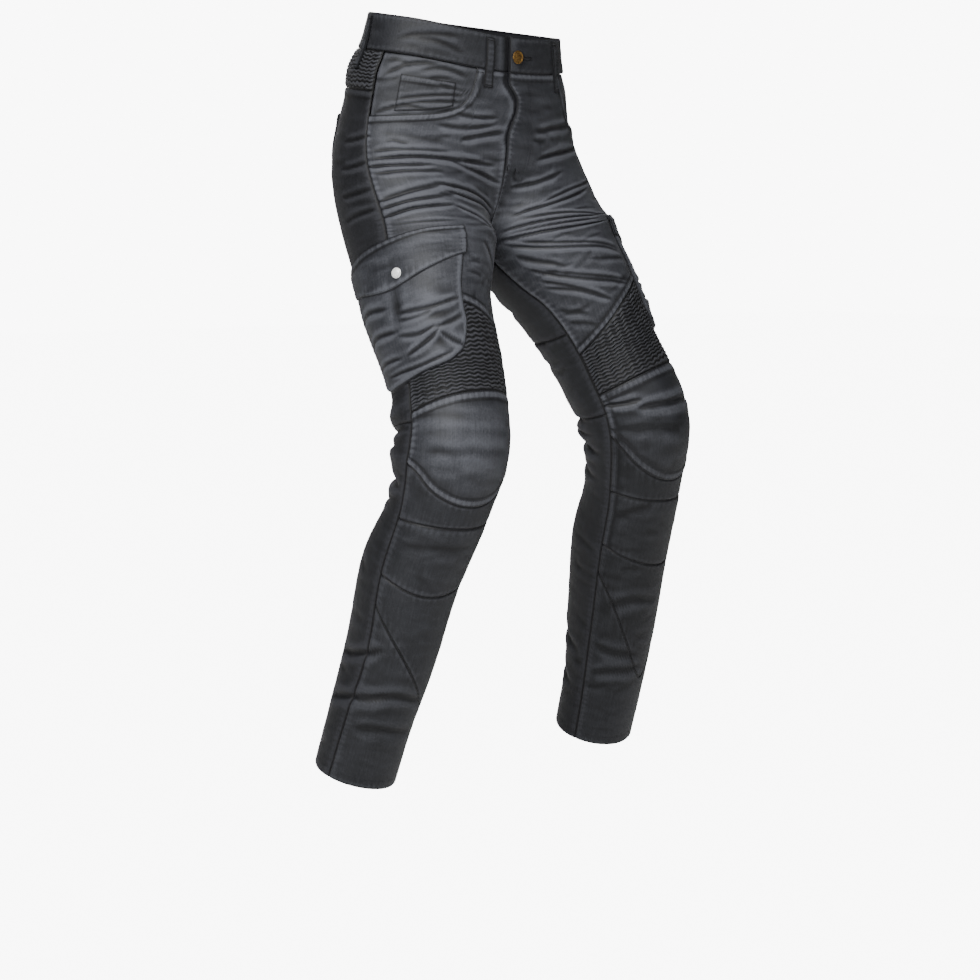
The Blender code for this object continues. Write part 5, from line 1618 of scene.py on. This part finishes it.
# %% [markdown]
# Where a seam ends or a strip is pulled, the thread goes to and fro in a dense block, the
# bar tack. It is made of the same stitches, laid side by side.

# %% Bar tacks
def bar_tack(side, u, s, lift, length=0.009, width=0.0022, down=True):
    """Dense block of thread across the end of a seam."""
    steps = np.linspace(-0.5, 0.5, int(length / 0.00055))
    across = width / span(s) / 2
    if down:
        at_u, at_s = (u - across, u + across), s + steps * length
        ends = [path_on_cloth(side, k + 0 * steps, at_s, lift + 0 * steps) for k in at_u]
    else:
        at_u, at_s = u + steps * length / span(s), (s - width / 2, s + width / 2)
        ends = [path_on_cloth(side, at_u, k + 0 * steps, lift + 0 * steps) for k in at_s]
    lay_stitches(ends[0][0], ends[1][0], ends[0][1], height=0.0005)


for name, _, side, middle, _ in LOOPS:
    cut, outer, _ = PIECES[name]
    for s in (LOOP_TOP + 0.004, LOOP_TOP + LOOP_LENGTH - 0.004):
        row = int(np.argmin(np.abs(cut.s[:, 0] - s)))
        below = skin(side, np.array(middle), np.array(s))[0]
        height = float(np.linalg.norm(outer[row, cut.s.shape[1] // 2] - below))
        bar_tack(side, middle, s, height, length=0.0085, down=False)
# side, u, s, height above the cloth, whether it runs down
TACKS = (
    (LEFT, -0.985, 0.180, 0.0012, True), (LEFT, -0.925, 0.186, 0.0016, True),
    (RIGHT, -0.185, 0.128, 0.0006, True), (LEFT, -0.185, 0.128, 0.0006, True),
    (RIGHT, -0.815, 0.052, 0.0006, False), (LEFT, -0.545, 0.052, 0.0006, False),
)
for side, u, s, lift, down in TACKS:
    bar_tack(side, u, s, lift, down=down)

# %% [markdown]
# The buttonhole is a slit in the lapped end of the band, worked round with close stitches
# that stand like the spokes of a long ring. The slit itself is a dark strip of thread
# between them, which stands in for the shade inside the opening.

# %% Buttonhole
HOLE_U, HOLE_S, HOLE_REACH = -0.880, 0.0262, 0.038      # middle and half length in u
turns = np.linspace(0.0, 2 * pi, 56, endpoint=False)
slot_u, slot_s = HOLE_U + HOLE_REACH * np.cos(turns), HOLE_S + 0.0011 * np.sin(turns)
rim_u, rim_s = HOLE_U + 0.049 * np.cos(turns), HOLE_S + 0.0032 * np.sin(turns)
height = BAND + 0.0010 + 0.0 * turns
inner_ring, outwards = path_on_cloth(LEFT, slot_u, slot_s, height)
outer_ring, _ = path_on_cloth(LEFT, rim_u, rim_s, height)
lay_stitches(inner_ring, outer_ring, outwards, height=0.0005)
slit_u = np.linspace(HOLE_U - HOLE_REACH, HOLE_U + HOLE_REACH, 7)
# a dark strip of thread as painted shade in the slit
slit_shade_strip, outwards = path_on_cloth(LEFT, slit_u, np.full(7, HOLE_S), np.full(7, BAND + 0.0008))
lay_stitches(slit_shade_strip[:-1], slit_shade_strip[1:], outwards[:-1], half=0.0014, height=0.0003)


# %% [markdown]
# Every stitch has nine points in the same order, so its faces are known in advance. The
# faces of the next stitch are the same numbers plus nine.

# %% One mesh of all the stitches
def thread_mesh(name, groups):
    """All stitches as one mesh."""
    points = np.concatenate(groups)
    count = len(points)
    # corners of one stitch: four sides, then its two ends
    sides = np.array([(0, 1, 4, 3), (1, 2, 5, 4), (3, 4, 7, 6), (4, 5, 8, 7)])
    ends = np.array([(0, 2, 1), (6, 7, 8)])
    first = 9 * np.arange(count)[:, None, None]
    faces = (sides[None] + first).reshape(-1, 4).tolist() + (ends[None] + first).reshape(-1, 3).tolist()
    mesh = bpy.data.meshes.new(name)
    mesh.from_pydata(points.reshape(-1, 3).tolist(), [], faces)
    mesh.polygons.foreach_set("use_smooth", np.ones(len(faces), bool))
    mesh.uv_layers.new(name="cloth")
    mesh.materials.append(THREAD)
    made = bpy.data.objects.new(name, mesh)
    bpy.context.scene.collection.objects.link(made)
    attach(made, "root")


thread_mesh("stitching", STITCHES)
print("stitches", sum(len(group) for group in STITCHES))

# %% [markdown]
# ## Floor, light and camera
#
# A product photograph of dark cloth needs a large soft light from the side of the camera,
# so that the wax shows its gloss on what faces us and the outline falls off into dark.
# A pale floor and a pale surrounding keep the outline readable.

# %% Pale floor
FLOOR_HEIGHT = -1.06
FLOOR_HALF = 14.0
floor_mesh = bpy.data.meshes.new("floor")
floor_corners = [(x * FLOOR_HALF, y * FLOOR_HALF, FLOOR_HEIGHT)
                 for x, y in ((-1, -1), (1, -1), (1, 1), (-1, 1))]
floor_mesh.from_pydata(floor_corners, [], [(0, 1, 2, 3)])
floor = bpy.data.objects.new("floor", floor_mesh)
bpy.context.scene.collection.objects.link(floor)
BACKDROP_GLOW = 9.0
SEEN_GLOW = 0.97        # how much of the glow the floor shows, the rest is light and shadow
floor_material = bpy.data.materials.new("pale_floor")
floor_material.use_nodes = True
tree = floor_material.node_tree
tree.nodes.clear()
matt = node(tree, "ShaderNodeBsdfDiffuse", {"Color": (0.86, 0.86, 0.86, 1.0)})
glow = node(tree, "ShaderNodeEmission", {"Color": (1.0, 1.0, 1.0, 1.0), "Strength": BACKDROP_GLOW})
seen = maths(tree, "MULTIPLY", node(tree, "ShaderNodeLightPath").outputs["Is Camera Ray"], SEEN_GLOW)
both = node(tree, "ShaderNodeMixShader", {0: seen, 1: matt.outputs[0], 2: glow.outputs[0]})
node(tree, "ShaderNodeOutputMaterial", {"Surface": both.outputs[0]})
floor_mesh.materials.append(floor_material)

# %% [markdown]
# A white studio that lights the cloth as brightly as it looks would wash out the dark
# denim. So the camera sees a bright surrounding, and the cloth gets a faint fill from it.

# %% Pale surrounding
FILL_LIGHT = 0.05
world = bpy.data.worlds.new("studio")
world.use_nodes = True
tree = world.node_tree
tree.nodes.clear()
fill = node(tree, "ShaderNodeBackground", {"Color": (1.0, 1.0, 1.0, 1.0), "Strength": FILL_LIGHT})
backdrop = node(tree, "ShaderNodeBackground", {"Color": (1.0, 1.0, 1.0, 1.0), "Strength": BACKDROP_GLOW})
seen = node(tree, "ShaderNodeLightPath").outputs["Is Camera Ray"]
both = node(tree, "ShaderNodeMixShader", {0: seen, 1: fill.outputs[0], 2: backdrop.outputs[0]})
node(tree, "ShaderNodeOutputWorld", {"Surface": both.outputs[0]})
bpy.context.scene.world = world

# %% [markdown]
# The key light stands above and to the left of the camera. Three weak ones open up the
# shadows in front, on top and behind.

# %% Soft lights
# name, place, size, watts: each one looks at the middle of the trousers
LIGHTS = (
    ("key", (-2.2, -1.7, 1.5), 1.6, 150.0),
    ("front", (0.5, -3.3, 0.6), 1.4, 22.0),
    ("top", (-0.2, -0.4, 2.6), 2.0, 22.0),
    ("behind", (1.6, 2.8, 1.2), 2.0, 45.0),
)
AIM = Vector((0.03, -0.02, -0.50))
for name, place, size, watts in LIGHTS:
    light = bpy.data.lights.new(name, "AREA")
    light.size = size
    light.energy = watts
    lamp = bpy.data.objects.new(name, light)
    lamp.location = place
    lamp.rotation_euler = (AIM - lamp.location).to_track_quat("-Z", "Y").to_euler()
    bpy.context.scene.collection.objects.link(lamp)
print("lights", [row[0] for row in LIGHTS])

# %% [markdown]
# The camera stands where the photograph was taken from. Its direction and its long lens
# were found by matching the outline and the seams.

# %% Camera at the photograph's angle
camera_data = bpy.data.cameras.new("camera")
camera_data.lens = 95.0
camera_data.sensor_width = 36.0
camera = bpy.data.objects.new("camera", camera_data)
camera.location = (-1.9985, -2.7507, -0.25)
LOOK_AT = Vector((0.02519, -0.01830, -0.60663))
camera.rotation_euler = (LOOK_AT - camera.location).to_track_quat("-Z", "Y").to_euler()
bpy.context.scene.collection.objects.link(camera)
bpy.context.scene.camera = camera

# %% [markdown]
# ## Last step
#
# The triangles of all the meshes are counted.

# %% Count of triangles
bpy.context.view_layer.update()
MESHES = [piece.data for piece in bpy.data.objects if piece.type == "MESH"]
print("triangles", sum(len(face.vertices) - 2 for mesh in MESHES for face in mesh.polygons))
